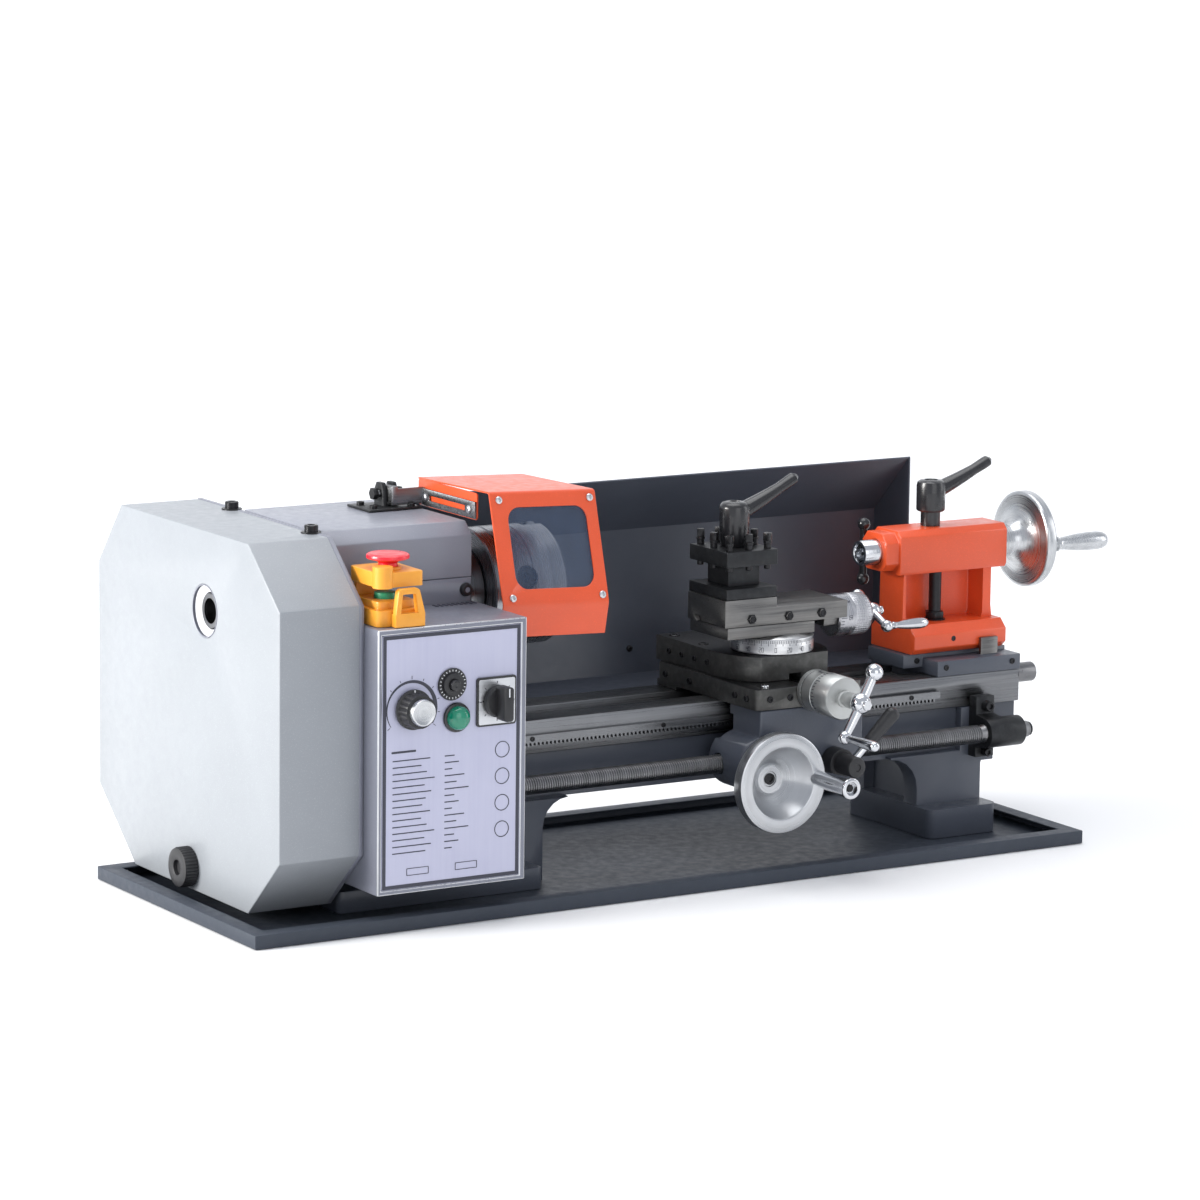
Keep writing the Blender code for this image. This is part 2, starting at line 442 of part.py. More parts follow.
nut_l = turned("half_nut_lever", M_PLASTIC, "y", 164, 89, [(-105 - GAP, 12), (-120, 12), (-120, 9), (-141, 9), (-142, 8)], 24)
add(nut_l, rod(T, M_PLASTIC, (164, -132, 92), (181, -134, 109), 3.5, n=12), rod(T, M_PLASTIC, (180, -134, 108), (206, -136, 134), 5.5, 6.5, 16))

# ---------------------------------------------------------------- cross slide
CZ0, CZ1 = SZ + GAP, 176.5
a0 = [(90, 57), (90, -35), (91.5, -48), (95.5, -60), (101.5, -69.5), (109, -77)]
cross = prism("cross_slide", M_DARK, "z", a0 + [(176, -77), (180.5, -69.5), (185.5, -60), (188.8, -48), (190, -35), (190, 57)], CZ0, CZ1)
cut(cross, box(T, M_DARK, FEED_X - 6, FEED_X + 6, -90, 80, CZ0 - 5, CZ0 + 5))
feed_c = cyl("cross_feed_crank", M_CHROME, "y", FEED_X, FEED_Z, 4, 20, -178, 16)
add(feed_c, turned(T, M_CHROME, "y", FEED_X, FEED_Z, [(-125 - GAP, 17), (-126.5, 18), (-144, 18), (-150, 15), (-151, 7), (-167, 6)], 32),
    turned(T, M_CHROME, "y", FEED_X, FEED_Z, [(-166, 7), (-169, 8.5), (-179, 8.5), (-181, 7)], 20))
UB, LB = (FEED_X + 13, -174, FEED_Z + 25), (FEED_X - 15, -174, FEED_Z - 27)
add(feed_c, rod(T, M_CHROME, LB, UB, 3.8, 4.2, 14), ball(T, M_CHROME, UB, 7.2), ball(T, M_CHROME, LB, 5.6),
    turned(T, M_CHROME, "y", LB[0], LB[2], [(-174, 2.8), (-182, 3.0), (-200, 4.8), (-212, 4.9), (-218, 4.0), (-220, 0)], 16))

# ---------------------------------------------------------------- compound rest
swivel = turned("compound_swivel", M_STEEL, "z", CARR_X, COMP_Y, [(CZ1 + GAP, 35), (190, 35), (193.5, 30)], 40)
add(swivel, box(T, M_STEEL, 76.7, 163.5, -75, -17, 192, 203),
    prism(T, M_STEEL, "x", [(-60, 202), (-32, 202), (-28, 208), (-64, 208)], 78, 162))
tslide = box("top_slide", M_STEEL, 74, 196.5, -75, -17, 203 + GAP, 218)
add(tslide, box(T, M_STEEL, 74, 125, -75, -17, 210, 226.4),
    cut(turned(T, M_STEEL, "x", COMP_Y, 200, [(183, 14.5), (196.5, 14.5)], 24), box(T, M_STEEL, 170, 210, -80, -10, 180, 194)),
    *[turned(T, M_STEEL, "y", x, 209.5, [(-74, 3.2), (-77.5, 3.2), (-78, 2.6)], 10) for x in (100, 137, 170)])
cut(tslide, prism(T, M_STEEL, "x", [(-60.6, 200), (-31.4, 200), (-31.6, 202.3), (-27.2, 208.4), (-64.8, 208.4), (-60.4, 202.3)], 50, 182),
    cyl(T, M_STEEL, "x", COMP_Y, 200, 5, 182.5, 205, 16))
ts_crank = turned("top_slide_crank", M_CHROME, "x", COMP_Y, 200, [(186, 4.4), (197, 4.4), (197, 16.5), (198.5, 18), (230, 18), (234, 14), (234, 5.5), (243, 5.5)], 32)
U2, L2 = (242, -23.5, 209.5), (242, -68.4, 190.8)
add(ts_crank, ball(T, M_CHROME, (242, COMP_Y, 200.2), 7.5), rod(T, M_CHROME, L2, U2, 3.4, 3.6, 14), ball(T, M_CHROME, U2, 6.4), ball(T, M_CHROME, L2, 5.2),
    turned(T, M_CHROME, "x", L2[1], L2[2], [(242, 2.6), (250, 2.8), (264, 4.8), (276, 4.9), (282, 4.0), (284, 0)], 16))

# ---------------------------------------------------------------- tool post
TPX, TPY = 100.3, -46.0
RZ = 226.4 + GAP
tpost = box("tool_post", M_DARK, 75, 125.5, -75, -16.5, RZ, 235.7)
add(tpost, box(T, M_DARK, TPX - 15.5, TPX + 15.5, TPY - 16, TPY + 16, 235, 255), box(T, M_DARK, 75, 125.5, -75, -16.5, 253.9, 266.8),
    *[cyl(T, M_DARK, "z", TPX + sx, TPY + sy, 3.7, 266, 280, 10) for sx, sy in ((-19, -22), (0, -23), (19, -22), (20, 0), (19, 22), (0, 23), (-19, 22), (-20, 0))])
lever = turned("tool_post_lever", M_DARK, "z", TPX, TPY, [(266.8 + GAP, 0), (266.8 + GAP, 11), (272, 12.6), (300, 12.6), (304, 10), (305, 0)], 28)
add(lever, rod(T, M_DARK, (104, -46, 292), (162, -46, 322), 5.2, 3.6, 14), ball(T, M_DARK, (162, -46, 322), 4.6, 12, 6))

# ---------------------------------------------------------------- tailstock
tbase = box("tailstock_base", M_SLATE, 289, 396.7, -27, 27, 142.6, 154.5)
add(tbase, box(T, M_SLATE, 309, 396.7, -50, 50, WAY_FZ + GAP, 151), box(T, M_SLATE, 309, 396.7, WAY_R0 + 1, 50, WAY_RZ + GAP, 140),
    box(T, M_SLATE, 309, 396.7, WAY_F1 + 0.5, WAY_R0 - 0.5, 130, 140), box(T, M_SLATE, 361.5, 379.5, -40, -36.3, 150, 166))
TB = 154.5 + GAP
tail = prism("tailstock_body", M_ORANGE, "x", [(-30, TB), (30, TB), (30, 172), (22, 179.6), (-28, 179.6), (-36, 172), (-36, 160)], 294, 391)
add(tail, prism(T, M_ORANGE, "y", [(294, 176), (389, 176), (387, 190), (387, 228), (294.5, 228)], -17, 19),
    prism(T, M_ORANGE, "x", [(-19, 223), (19, 223), (21, 226), (21, 256), (16, 261), (-16, 261), (-21, 256), (-21, 226)], 288, 400.5),
    prism(T, M_ORANGE, "x", [(-11, 226), (12, 226), (19, 233), (19, 251), (12, 259), (-11, 259), (-18, 251), (-18, 233)], 275, 290))
cut(tail, prism(T, M_ORANGE, "y", [(299, 179.6), (377, 179.6), (378.5, 184), (378.5, 222.5), (297, 222.5), (297, 190)], -40, 5),
    cyl(T, M_ORANGE, "x", 0, S - 0.7, 11.3, 260, 410, 28))
S2 = S - 0.7
quill = turned("quill", M_CHROME, "x", 0, S2, [(258.8, 8), (258.8, 10.4), (259.6, 11), (372, 11), (372, 8)], 28, closed=True)
t_rod = cyl("tailstock_clamp_rod", M_DARK, "z", 334, -8, 5.4, 179.6 + GAP, 222.5 - GAP, 16)
t_lever = turned("tailstock_clamp_lever", M_DARK, "z", 333, 0, [(261 + GAP, 0), (261 + GAP, 8.5), (274, 8.5), (274, 11.5), (275, 12.5), (298, 12.5), (301, 10), (301, 0)], 24)
add(t_lever, rod(T, M_DARK, (340, 0, 292), (395, 0, 315), 5.4, 4.0, 14), ball(T, M_DARK, (395, 0, 315), 4.6, 12, 6))
q_lock = turned("quill_lock_lever", M_DARK, "y", 282, 240, [(19 + GAP, 3.5), (24, 3.5), (24, 6), (30, 6)], 16)
add(q_lock, box(T, M_DARK, 278.5, 285.5, 24.5, 29.5, 214, 262), ball(T, M_DARK, (282, 27, 214), 5.4, 12, 6), ball(T, M_DARK, (282, 27, 262), 5.4, 12, 6))
t_wheel = turned("tailstock_handwheel", M_ALU, "x", 0, S2,
                 [(352, 0), (352, 5.8), (400.5 + GAP, 5.8), (400.5 + GAP, 13), (414, 13), (424, 17), (430, 34), (430, 40), (431, 42), (439, 42), (440, 41), (440, 33), (438, 30), (434, 16), (434, 12), (444, 11), (445, 9), (445, 0)], 40)
add(t_wheel, turned(T, M_ALU, "x", -34, S2 - 0.7, [(436, 4.6), (443, 5.2), (462, 7.4), (482, 7.8), (494, 7.2), (497, 5.5)], 20))

# ---------------------------------------------------------------- origins on the joint axes, and shading
for o, p in ((spindle, (-200, 0, S)), (pulley, (-330, 0, S)), (plate, (-125, 0, S)), (chuck, (-90, 0, S)),
             (jaws[0], (-62, 0, S)), (jaws[1], (-62, 0, S)), (jaws[2], (-62, 0, S)),
             (mot_pul, (-321, MOT_Y, MOT_Z)), (gear_a, (-341, A_Y, A_Z)), (gear_b, (-341, B_Y, B_Z)),
             (gear_l, (-341, SCREW_Y, SCREW_Z)), (screw, (0, SCREW_Y, SCREW_Z)), (cover, (-371, 42.2, 30.2)), (knob, (-371, 42.2, 30.2)),
             (speed, (-266, PF, 180)), (brk_b, (-230.1, PF, 196.7)), (sel_h, (-190, PF - 2.8, 180)),
             (start_b, (-271, -115, EZ + 10)), (lid, (-273, LID_Y, LID_Z)), (mush, (-273, -117, 290)),
             (arm, (-188, PIV_Y, PIV_Z)), (guard, (-188, PIV_Y, PIV_Z)), (window, (-188, PIV_Y, PIV_Z)),
             (hw, (95, -115, 81.5)), (nut_l, (164, -115, 89)), (feed_c, (FEED_X, -150, FEED_Z)), (swivel, (CARR_X, COMP_Y, CZ1)),
             (ts_crank, (240, COMP_Y, 200)), (tpost, (TPX, TPY, RZ)), (lever, (TPX, TPY, 267)),
             (t_lever, (333, 0, 275)), (q_lock, (282, 21, 240)), (t_wheel, (430, 0, S2))):
    at(o, *p)
for o in list(bpy.data.objects):
    if o.type == "MESH":
        smooth(o)
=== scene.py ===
import bpy
import bmesh
import json
import math
from mathutils import Vector, Matrix
from mathutils.geometry import delaunay_2d_cdt


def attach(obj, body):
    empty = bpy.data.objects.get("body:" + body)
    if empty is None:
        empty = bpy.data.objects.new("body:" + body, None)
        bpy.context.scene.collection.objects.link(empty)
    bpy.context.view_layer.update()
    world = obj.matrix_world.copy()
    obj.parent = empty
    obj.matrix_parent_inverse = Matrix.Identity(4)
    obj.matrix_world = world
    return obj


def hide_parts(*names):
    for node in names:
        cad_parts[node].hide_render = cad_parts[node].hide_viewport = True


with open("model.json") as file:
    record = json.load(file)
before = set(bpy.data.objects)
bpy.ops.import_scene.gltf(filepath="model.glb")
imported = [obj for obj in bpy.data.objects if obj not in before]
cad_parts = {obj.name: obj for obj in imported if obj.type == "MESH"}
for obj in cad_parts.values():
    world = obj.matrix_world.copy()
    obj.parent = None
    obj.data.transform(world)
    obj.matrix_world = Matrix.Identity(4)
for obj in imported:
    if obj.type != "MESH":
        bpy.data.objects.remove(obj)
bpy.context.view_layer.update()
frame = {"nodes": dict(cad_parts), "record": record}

MM = 0.001
S = 242.7
S2 = 242.0
NODE_BODY = {n: b for b, ns in frame["record"]["behaviour"]["bodies"].items() for n in ns}
NODE_SLOT = {s["node"]: s["material_slot"] for s in frame["record"]["subparts"]}


# ================================================================ materials
def nodes_of(m):
    m.use_nodes = True
    nt = m.node_tree
    return nt, nt.nodes["Principled BSDF"]


def link(nt, a, b):
    nt.links.new(a, b)


def coords(nt, scale=(1, 1, 1), loc=(0, 0, 0)):
    tc = nt.nodes.new("ShaderNodeTexCoord")
    mp = nt.nodes.new("ShaderNodeMapping")
    mp.inputs["Scale"].default_value = scale
    mp.inputs["Location"].default_value = loc
    link(nt, tc.outputs["Object"], mp.inputs["Vector"])
    return mp.outputs["Vector"]


def noise(nt, vec, scale, detail=3.0, rough=0.55, dist=0.0):
    n = nt.nodes.new("ShaderNodeTexNoise")
    n.inputs["Scale"].default_value = scale
    n.inputs["Detail"].default_value = detail
    n.inputs["Roughness"].default_value = rough
    n.inputs["Distortion"].default_value = dist
    link(nt, vec, n.inputs["Vector"])
    return n.outputs["Fac"]


def ramp(nt, fac, stops):
    r = nt.nodes.new("ShaderNodeValToRGB")
    els = r.color_ramp.elements
    els[0].position, els[0].color = stops[0][0], (*stops[0][1], 1)
    els[1].position, els[1].color = stops[-1][0], (*stops[-1][1], 1)
    for p, c in stops[1:-1]:
        e = els.new(p)
        e.color = (*c, 1)
    link(nt, fac, r.inputs["Fac"])
    return r.outputs["Color"]


def grey(v):
    return (v, v, v)


def rough_from(nt, fac, lo, hi):
    r = nt.nodes.new("ShaderNodeMapRange")
    r.inputs["From Min"].default_value = 0.3
    r.inputs["From Max"].default_value = 0.7
    r.inputs["To Min"].default_value = lo
    r.inputs["To Max"].default_value = hi
    link(nt, fac, r.inputs["Value"])
    return r.outputs["Result"]


def bump(nt, height, strength, dist, before=None):
    b = nt.nodes.new("ShaderNodeBump")
    b.inputs["Strength"].default_value = strength
    b.inputs["Distance"].default_value = dist
    link(nt, height, b.inputs["Height"])
    if before is not None:
        link(nt, before, b.inputs["Normal"])
    return b.outputs["Normal"]


def tone(rgb, k):
    return tuple(min(1.0, c * k) for c in rgb)


def paint(name, rgb, rough=0.38, peel=0.10, var=0.10, coat=0.15, grain=700.0, metallic=0.0):
    """Sprayed machine enamel: orange peel, slight shade change, faint dust."""
    m = bpy.data.materials.new(name)
    nt, b = nodes_of(m)
    v = coords(nt)
    big = noise(nt, v, 9.0, 4.0, 0.6)
    fine = noise(nt, v, grain, 2.0, 0.5)
    mid = noise(nt, v, 120.0, 4.0, 0.6)
    col = ramp(nt, big, [(0.30, tone(rgb, 1 - var)), (0.52, rgb), (0.72, tone(rgb, 1 + var))])
    specks = ramp(nt, noise(nt, v, 1500.0, 1.0, 0.4), [(0.62, grey(0.0)), (0.75, grey(1.0))])
    mix = nt.nodes.new("ShaderNodeMix")
    mix.data_type = "RGBA"
    link(nt, specks, mix.inputs["Factor"])
    link(nt, col, mix.inputs["A"])
    mix.inputs["B"].default_value = (*tone(rgb, 1.22), 1)
    link(nt, mix.outputs["Result"], b.inputs["Base Color"])
    link(nt, rough_from(nt, mid, rough - 0.06, rough + 0.10), b.inputs["Roughness"])
    n = bump(nt, fine, peel, 0.0004)
    link(nt, bump(nt, mid, peel * 0.6, 0.0006, n), b.inputs["Normal"])
    b.inputs["Metallic"].default_value = metallic
    b.inputs["Coat Weight"].default_value = coat
    b.inputs["Coat Roughness"].default_value = 0.25
    return m


def metal(name, rgb, rough=0.3, stretch=(6, 500, 500), depth=0.12, var=0.12, stain=0.0):
    """Ground or brushed metal with marks that run along one direction."""
    m = bpy.data.materials.new(name)
    nt, b = nodes_of(m)
    vs = coords(nt, stretch)
    v = coords(nt)
    marks = noise(nt, vs, 1.6, 5.0, 0.62)
    fine = noise(nt, vs, 5.0, 2.0, 0.5)
    big = noise(nt, v, 22.0, 4.0, 0.6, 0.4)
    col = ramp(nt, marks, [(0.25, tone(rgb, 1 - var)), (0.5, rgb), (0.75, tone(rgb, 1 + var))])
    mix = nt.nodes.new("ShaderNodeMix")
    mix.data_type = "RGBA"
    link(nt, ramp(nt, big, [(0.45, grey(0.0)), (0.8, grey(0.35 + stain))]), mix.inputs["Factor"])
    link(nt, col, mix.inputs["A"])
    mix.inputs["B"].default_value = (*tone(rgb, 0.62), 1)
    link(nt, mix.outputs["Result"], b.inputs["Base Color"])
    link(nt, rough_from(nt, marks, rough - 0.07, rough + 0.12), b.inputs["Roughness"])
    n = bump(nt, marks, depth, 0.0002)
    link(nt, bump(nt, fine, depth * 0.7, 0.0001, n), b.inputs["Normal"])
    b.inputs["Metallic"].default_value = 1.0
    b.inputs["Anisotropic"].default_value = 0.35
    return m


def lathed(name, rgb, rough=0.2, axis="x", centre=(0, 0, 0), pitch=900.0, depth=0.10, var=0.10, metallic=1.0):
    """Metal turned in a lathe: fine rings about an axis, on its faces and along its barrel."""
    m = bpy.data.materials.new(name)
    nt, b = nodes_of(m)
    tc = nt.nodes.new("ShaderNodeTexCoord")
    sub = nt.nodes.new("ShaderNodeVectorMath")
    sub.operation = "SUBTRACT"
    sub.inputs[1].default_value = tuple(c * MM for c in centre)
    link(nt, tc.outputs["Object"], sub.inputs[0])
    flat = nt.nodes.new("ShaderNodeVectorMath")
    flat.operation = "MULTIPLY"
    flat.inputs[1].default_value = {"x": (0, 1, 1), "y": (1, 0, 1), "z": (1, 1, 0)}[axis]
    link(nt, sub.outputs["Vector"], flat.inputs[0])
    ln = nt.nodes.new("ShaderNodeVectorMath")
    ln.operation = "LENGTH"
    link(nt, flat.outputs["Vector"], ln.inputs[0])
    sep = nt.nodes.new("ShaderNodeSeparateXYZ")
    link(nt, sub.outputs["Vector"], sep.inputs["Vector"])
    comb = nt.nodes.new("ShaderNodeCombineXYZ")
    link(nt, ln.outputs["Value"], comb.inputs["X"])
    link(nt, sep.outputs[{"x": 0, "y": 1, "z": 2}[axis]], comb.inputs["Y"])
    rings = noise(nt, comb.outputs["Vector"], pitch, 3.0, 0.6)
    broad = noise(nt, comb.outputs["Vector"], pitch * 0.12, 2.0, 0.5)
    v = coords(nt)
    mott = noise(nt, v, 60.0, 3.0, 0.6)
    col = ramp(nt, broad, [(0.3, tone(rgb, 1 - var)), (0.5, rgb), (0.7, tone(rgb, 1 + var))])
    mix = nt.nodes.new("ShaderNodeMix")
    mix.data_type = "RGBA"
    link(nt, ramp(nt, mott, [(0.5, grey(0.0)), (0.8, grey(0.3))]), mix.inputs["Factor"])
    link(nt, col, mix.inputs["A"])
    mix.inputs["B"].default_value = (*tone(rgb, 0.7), 1)
    link(nt, mix.outputs["Result"], b.inputs["Base Color"])
    link(nt, rough_from(nt, rings, rough - 0.06, rough + 0.12), b.inputs["Roughness"])
    link(nt, bump(nt, rings, depth, 0.00015), b.inputs["Normal"])
    b.inputs["Metallic"].default_value = metallic
    b.inputs["Anisotropic"].default_value = 0.4
    return m


def plastic(name, rgb, rough=0.4, grain=0.12, var=0.08, coat=0.0, transmission=0.0, spec=0.5):
    m = bpy.data.materials.new(name)
    nt, b = nodes_of(m)
    v = coords(nt)
    fine = noise(nt, v, 1800.0, 2.0, 0.5)
    big = noise(nt, v, 45.0, 4.0, 0.6)
    link(nt, ramp(nt, big, [(0.3, tone(rgb, 1 - var)), (0.55, rgb), (0.75, tone(rgb, 1 + var * 1.5))]), b.inputs["Base Color"])
    link(nt, rough_from(nt, big, rough - 0.05, rough + 0.10), b.inputs["Roughness"])
    link(nt, bump(nt, fine, grain, 0.0002), b.inputs["Normal"])
    b.inputs["Coat Weight"].default_value = coat
    b.inputs["Transmission Weight"].default_value = transmission
    b.inputs["Specular IOR Level"].default_value = spec
    return m


def cast(name, rgb, rough=0.5, grain=0.35, metallic=0.75, var=0.2):
    """Blackened or oiled iron with a machined or lightly cast skin."""
    m = bpy.data.materials.new(name)
    nt, b = nodes_of(m)
    v = coords(nt)
    fine = noise(nt, v, 900.0, 4.0, 0.6)
    mid = noise(nt, v, 160.0, 4.0, 0.6, 0.3)
    big = noise(nt, v, 25.0, 4.0, 0.6)
    link(nt, ramp(nt, mid, [(0.25, tone(rgb, 1 - var)), (0.5, rgb), (0.78, tone(rgb, 1 + var * 2.2))]), b.inputs["Base Color"])
    link(nt, rough_from(nt, big, rough - 0.10, rough + 0.10), b.inputs["Roughness"])
    n = bump(nt, fine, grain * 0.5, 0.0002)
    link(nt, bump(nt, mid, grain * 0.4, 0.0003, n), b.inputs["Normal"])
    b.inputs["Metallic"].default_value = metallic
    return m


SLATE = paint("slate_enamel", (0.066, 0.075, 0.097), 0.36, 0.08, 0.10, 0.20)
TRAY = paint("tray_enamel", (0.042, 0.05, 0.066), 0.50, 0.02, 0.06, 0.0)
TRAY.node_tree.nodes["Principled BSDF"].inputs["Specular IOR Level"].default_value = 0.28
GREY = paint("grey_enamel", (0.1845, 0.1926, 0.2358), 0.36, 0.07, 0.05, 0.20)
LIGHT = paint("pale_enamel", (0.2646, 0.2814, 0.3041), 0.36, 0.04, 0.04, 0.20)
MID = paint("mid_enamel", (0.235, 0.245, 0.290), 0.36, 0.04, 0.04, 0.20)
ORANGE = paint("orange_enamel", (0.70, 0.080, 0.018), 0.34, 0.12, 0.08, 0.30, 520.0)
STEEL = metal("ground_steel_x", (0.21, 0.214, 0.222), 0.30, (6, 500, 500), 0.14, 0.16)
STEEL_Y = metal("ground_steel_y", (0.20, 0.20, 0.205), 0.32, (500, 6, 500), 0.14, 0.16)
STEEL_DK = metal("oiled_steel", (0.19, 0.186, 0.180), 0.33, (9, 420, 420), 0.20, 0.25, 0.2)
STEEL_DKY = metal("oiled_steel_y", (0.10, 0.10, 0.104), 0.35, (420, 9, 420), 0.20, 0.25, 0.2)
BLACK = cast("black_oxide", (0.030, 0.031, 0.033), 0.40, 0.30, 0.70)
BLACKS = cast("black_screw", (0.022, 0.022, 0.024), 0.34, 0.20, 0.60)
CASTSIDE = cast("oiled_casting", (0.088, 0.087, 0.083), 0.40, 0.34, 0.75)
CHROME = lathed("chrome_plate", (0.62, 0.63, 0.65), 0.10, "x", (0, 0, S), 400.0, 0.03, 0.05)
CHROMEY = lathed("chrome_plate_y", (0.62, 0.63, 0.65), 0.12, "y", (129.5, 0, 79), 400.0, 0.03, 0.05)
ALU_W = lathed("turned_aluminium_carriage", (0.52, 0.53, 0.545), 0.30, "y", (95, 0, 81.5), 1100.0, 0.10, 0.07)
ALU_T = lathed("turned_aluminium_tail", (0.56, 0.57, 0.58), 0.26, "x", (0, 0, S2), 1100.0, 0.10, 0.07)
DIAL_C = lathed("satin_dial_cross", (0.50, 0.51, 0.50), 0.38, "y", (143.6, 0, 151), 900.0, 0.08, 0.06)
DIAL_T = lathed("satin_dial_top", (0.46, 0.46, 0.48), 0.26, "x", (0, -46, 200), 900.0, 0.08, 0.06)
SWIV = lathed("satin_swivel", (0.62, 0.62, 0.62), 0.30, "z", (140, -46, 0), 900.0, 0.08, 0.06)
CHUCKM = lathed("turned_chuck", (0.30, 0.31, 0.33), 0.24, "x", (0, 0, S), 900.0, 0.12, 0.14)
SPINM = lathed("turned_spindle", (0.20, 0.205, 0.215), 0.28, "x", (0, 0, S), 900.0, 0.10, 0.12)
SCREWM = lathed("leadscrew_steel", (0.25, 0.25, 0.255), 0.34, "x", (0, -72, 89), 900.0, 0.06, 0.15)
CAPM = lathed("knob_cap", (0.52, 0.53, 0.54), 0.22, "y", (-266, 0, 180), 1300.0, 0.12, 0.06)
GEARM = lathed("gear_steel", (0.42, 0.40, 0.36), 0.32, "x", (0, 0, S), 700.0, 0.08, 0.10)
PLASTIC = plastic("black_plastic", (0.018, 0.018, 0.020), 0.42, 0.25, 0.15)
PLASTICG = plastic("glossy_black_plastic", (0.014, 0.014, 0.016), 0.24, 0.06, 0.15, 0.2)
YELLOW = plastic("yellow_plastic", (0.80, 0.335, 0.030), 0.36, 0.10, 0.06)
RED = plastic("red_plastic", (0.78, 0.012, 0.028), 0.30, 0.05, 0.05, 0.3)
GREEN = plastic("green_lens", (0.004, 0.27, 0.155), 0.14, 0.03, 0.10, 0.6, 0.25)
GREENB = plastic("green_button", (0.02, 0.30, 0.14), 0.35, 0.05, 0.06)
RUBBER = plastic("belt_rubber", (0.016, 0.016, 0.017), 0.75, 0.4, 0.2)
INK = plastic("panel_ink", (0.035, 0.037, 0.055), 0.45, 0.05, 0.10)
INKL = plastic("pale_ink", (0.75, 0.76, 0.78), 0.45, 0.05, 0.04)
PLATEW = metal("silver_plate", (0.62, 0.63, 0.65), 0.30, (6, 300, 300), 0.06, 0.05)
EDGE = metal("bright_edge", (0.60, 0.61, 0.63), 0.30, (300, 300, 6), 0.08, 0.08)

PANEL = bpy.data.materials.new("panel_sheet")
_nt, _b = nodes_of(PANEL)
_v = coords(_nt, (300, 300, 8))
_m = noise(_nt, _v, 1.4, 4.0, 0.6)
_w = noise(_nt, coords(_nt), 14.0, 3.0, 0.6)
_mix = _nt.nodes.new("ShaderNodeMix")
_mix.data_type = "RGBA"
link(_nt, ramp(_nt, _m, [(0.3, grey(0.0)), (0.7, grey(0.35))]), _mix.inputs["Factor"])
link(_nt, ramp(_nt, _w, [(0.3, (0.43, 0.435, 0.575)), (0.7, (0.47, 0.475, 0.61))]), _mix.inputs["A"])
_mix.inputs["B"].default_value = (0.52, 0.525, 0.64, 1)
link(_nt, _mix.outputs["Result"], _b.inputs["Base Color"])
link(_nt, rough_from(_nt, _m, 0.30, 0.42), _b.inputs["Roughness"])
link(_nt, bump(_nt, _m, 0.04, 0.0001), _b.inputs["Normal"])
_b.inputs["Coat Weight"].default_value = 0.25

WINDOW = bpy.data.materials.new("window_sheet")
_nt, _b = nodes_of(WINDOW)
_w = noise(_nt, coords(_nt, (60, 60, 14)), 1.2, 3.0, 0.6)
link(_nt, ramp(_nt, _w, [(0.3, (0.05, 0.075, 0.13)), (0.7, (0.07, 0.10, 0.17))]), _b.inputs["Base Color"])
link(_nt, rough_from(_nt, _w, 0.05, 0.14), _b.inputs["Roughness"])
_b.inputs["Transmission Weight"].default_value = 0.0
_b.inputs["Alpha"].default_value = 0.36
_b.inputs["Coat Weight"].default_value = 0.5

# ================================================================ mesh helpers, millimetres in, metres out
PIECES = []


def finish_mesh(name, verts, faces, mat, node=None, body=None, smooth=35):
    me = bpy.data.meshes.new(name)
    me.from_pydata([(x * MM, y * MM, z * MM) for x, y, z in verts], [], faces)
    bm = bmesh.new()
    bm.from_mesh(me)
    bmesh.ops.recalc_face_normals(bm, faces=bm.faces)
    bm.to_mesh(me)
    bm.free()
    me.materials.append(mat)
    o = bpy.data.objects.new(name, me)
    bpy.context.scene.collection.objects.link(o)
    return o


def put(axis, a, u, v):
    return {"x": (a, u, v), "y": (u, a, v), "z": (u, v, a)}[axis]


def prism(name, mat, axis, pts, a0, a1):
    n = len(pts)
    verts = [put(axis, a0, u, v) for u, v in pts] + [put(axis, a1, u, v) for u, v in pts]
    faces = [tuple(range(n))[::-1], tuple(range(n, 2 * n))]
    faces += [(i, (i + 1) % n, n + (i + 1) % n, n + i) for i in range(n)]
    return finish_mesh(name, verts, faces, mat)


def box(name, mat, x0, x1, y0, y1, z0, z1):
    return prism(name, mat, "z", [(x0, y0), (x1, y0), (x1, y1), (x0, y1)], z0, z1)


def rbox_pts(u0, u1, v0, v1, r, seg=6):
    pts = []
    for cu, cv, s in ((u1 - r, v0 + r, -90), (u1 - r, v1 - r, 0), (u0 + r, v1 - r, 90), (u0 + r, v0 + r, 180)):
        for k in range(seg + 1):
            t = math.radians(s + 90 * k / seg)
            pts.append((cu + r * math.cos(t), cv + r * math.sin(t)))
    return pts


def round_box(name, mat, axis, u0, u1, v0, v1, r, a0, a1, seg=6):
    return prism(name, mat, axis, rbox_pts(u0, u1, v0, v1, r, seg), a0, a1)


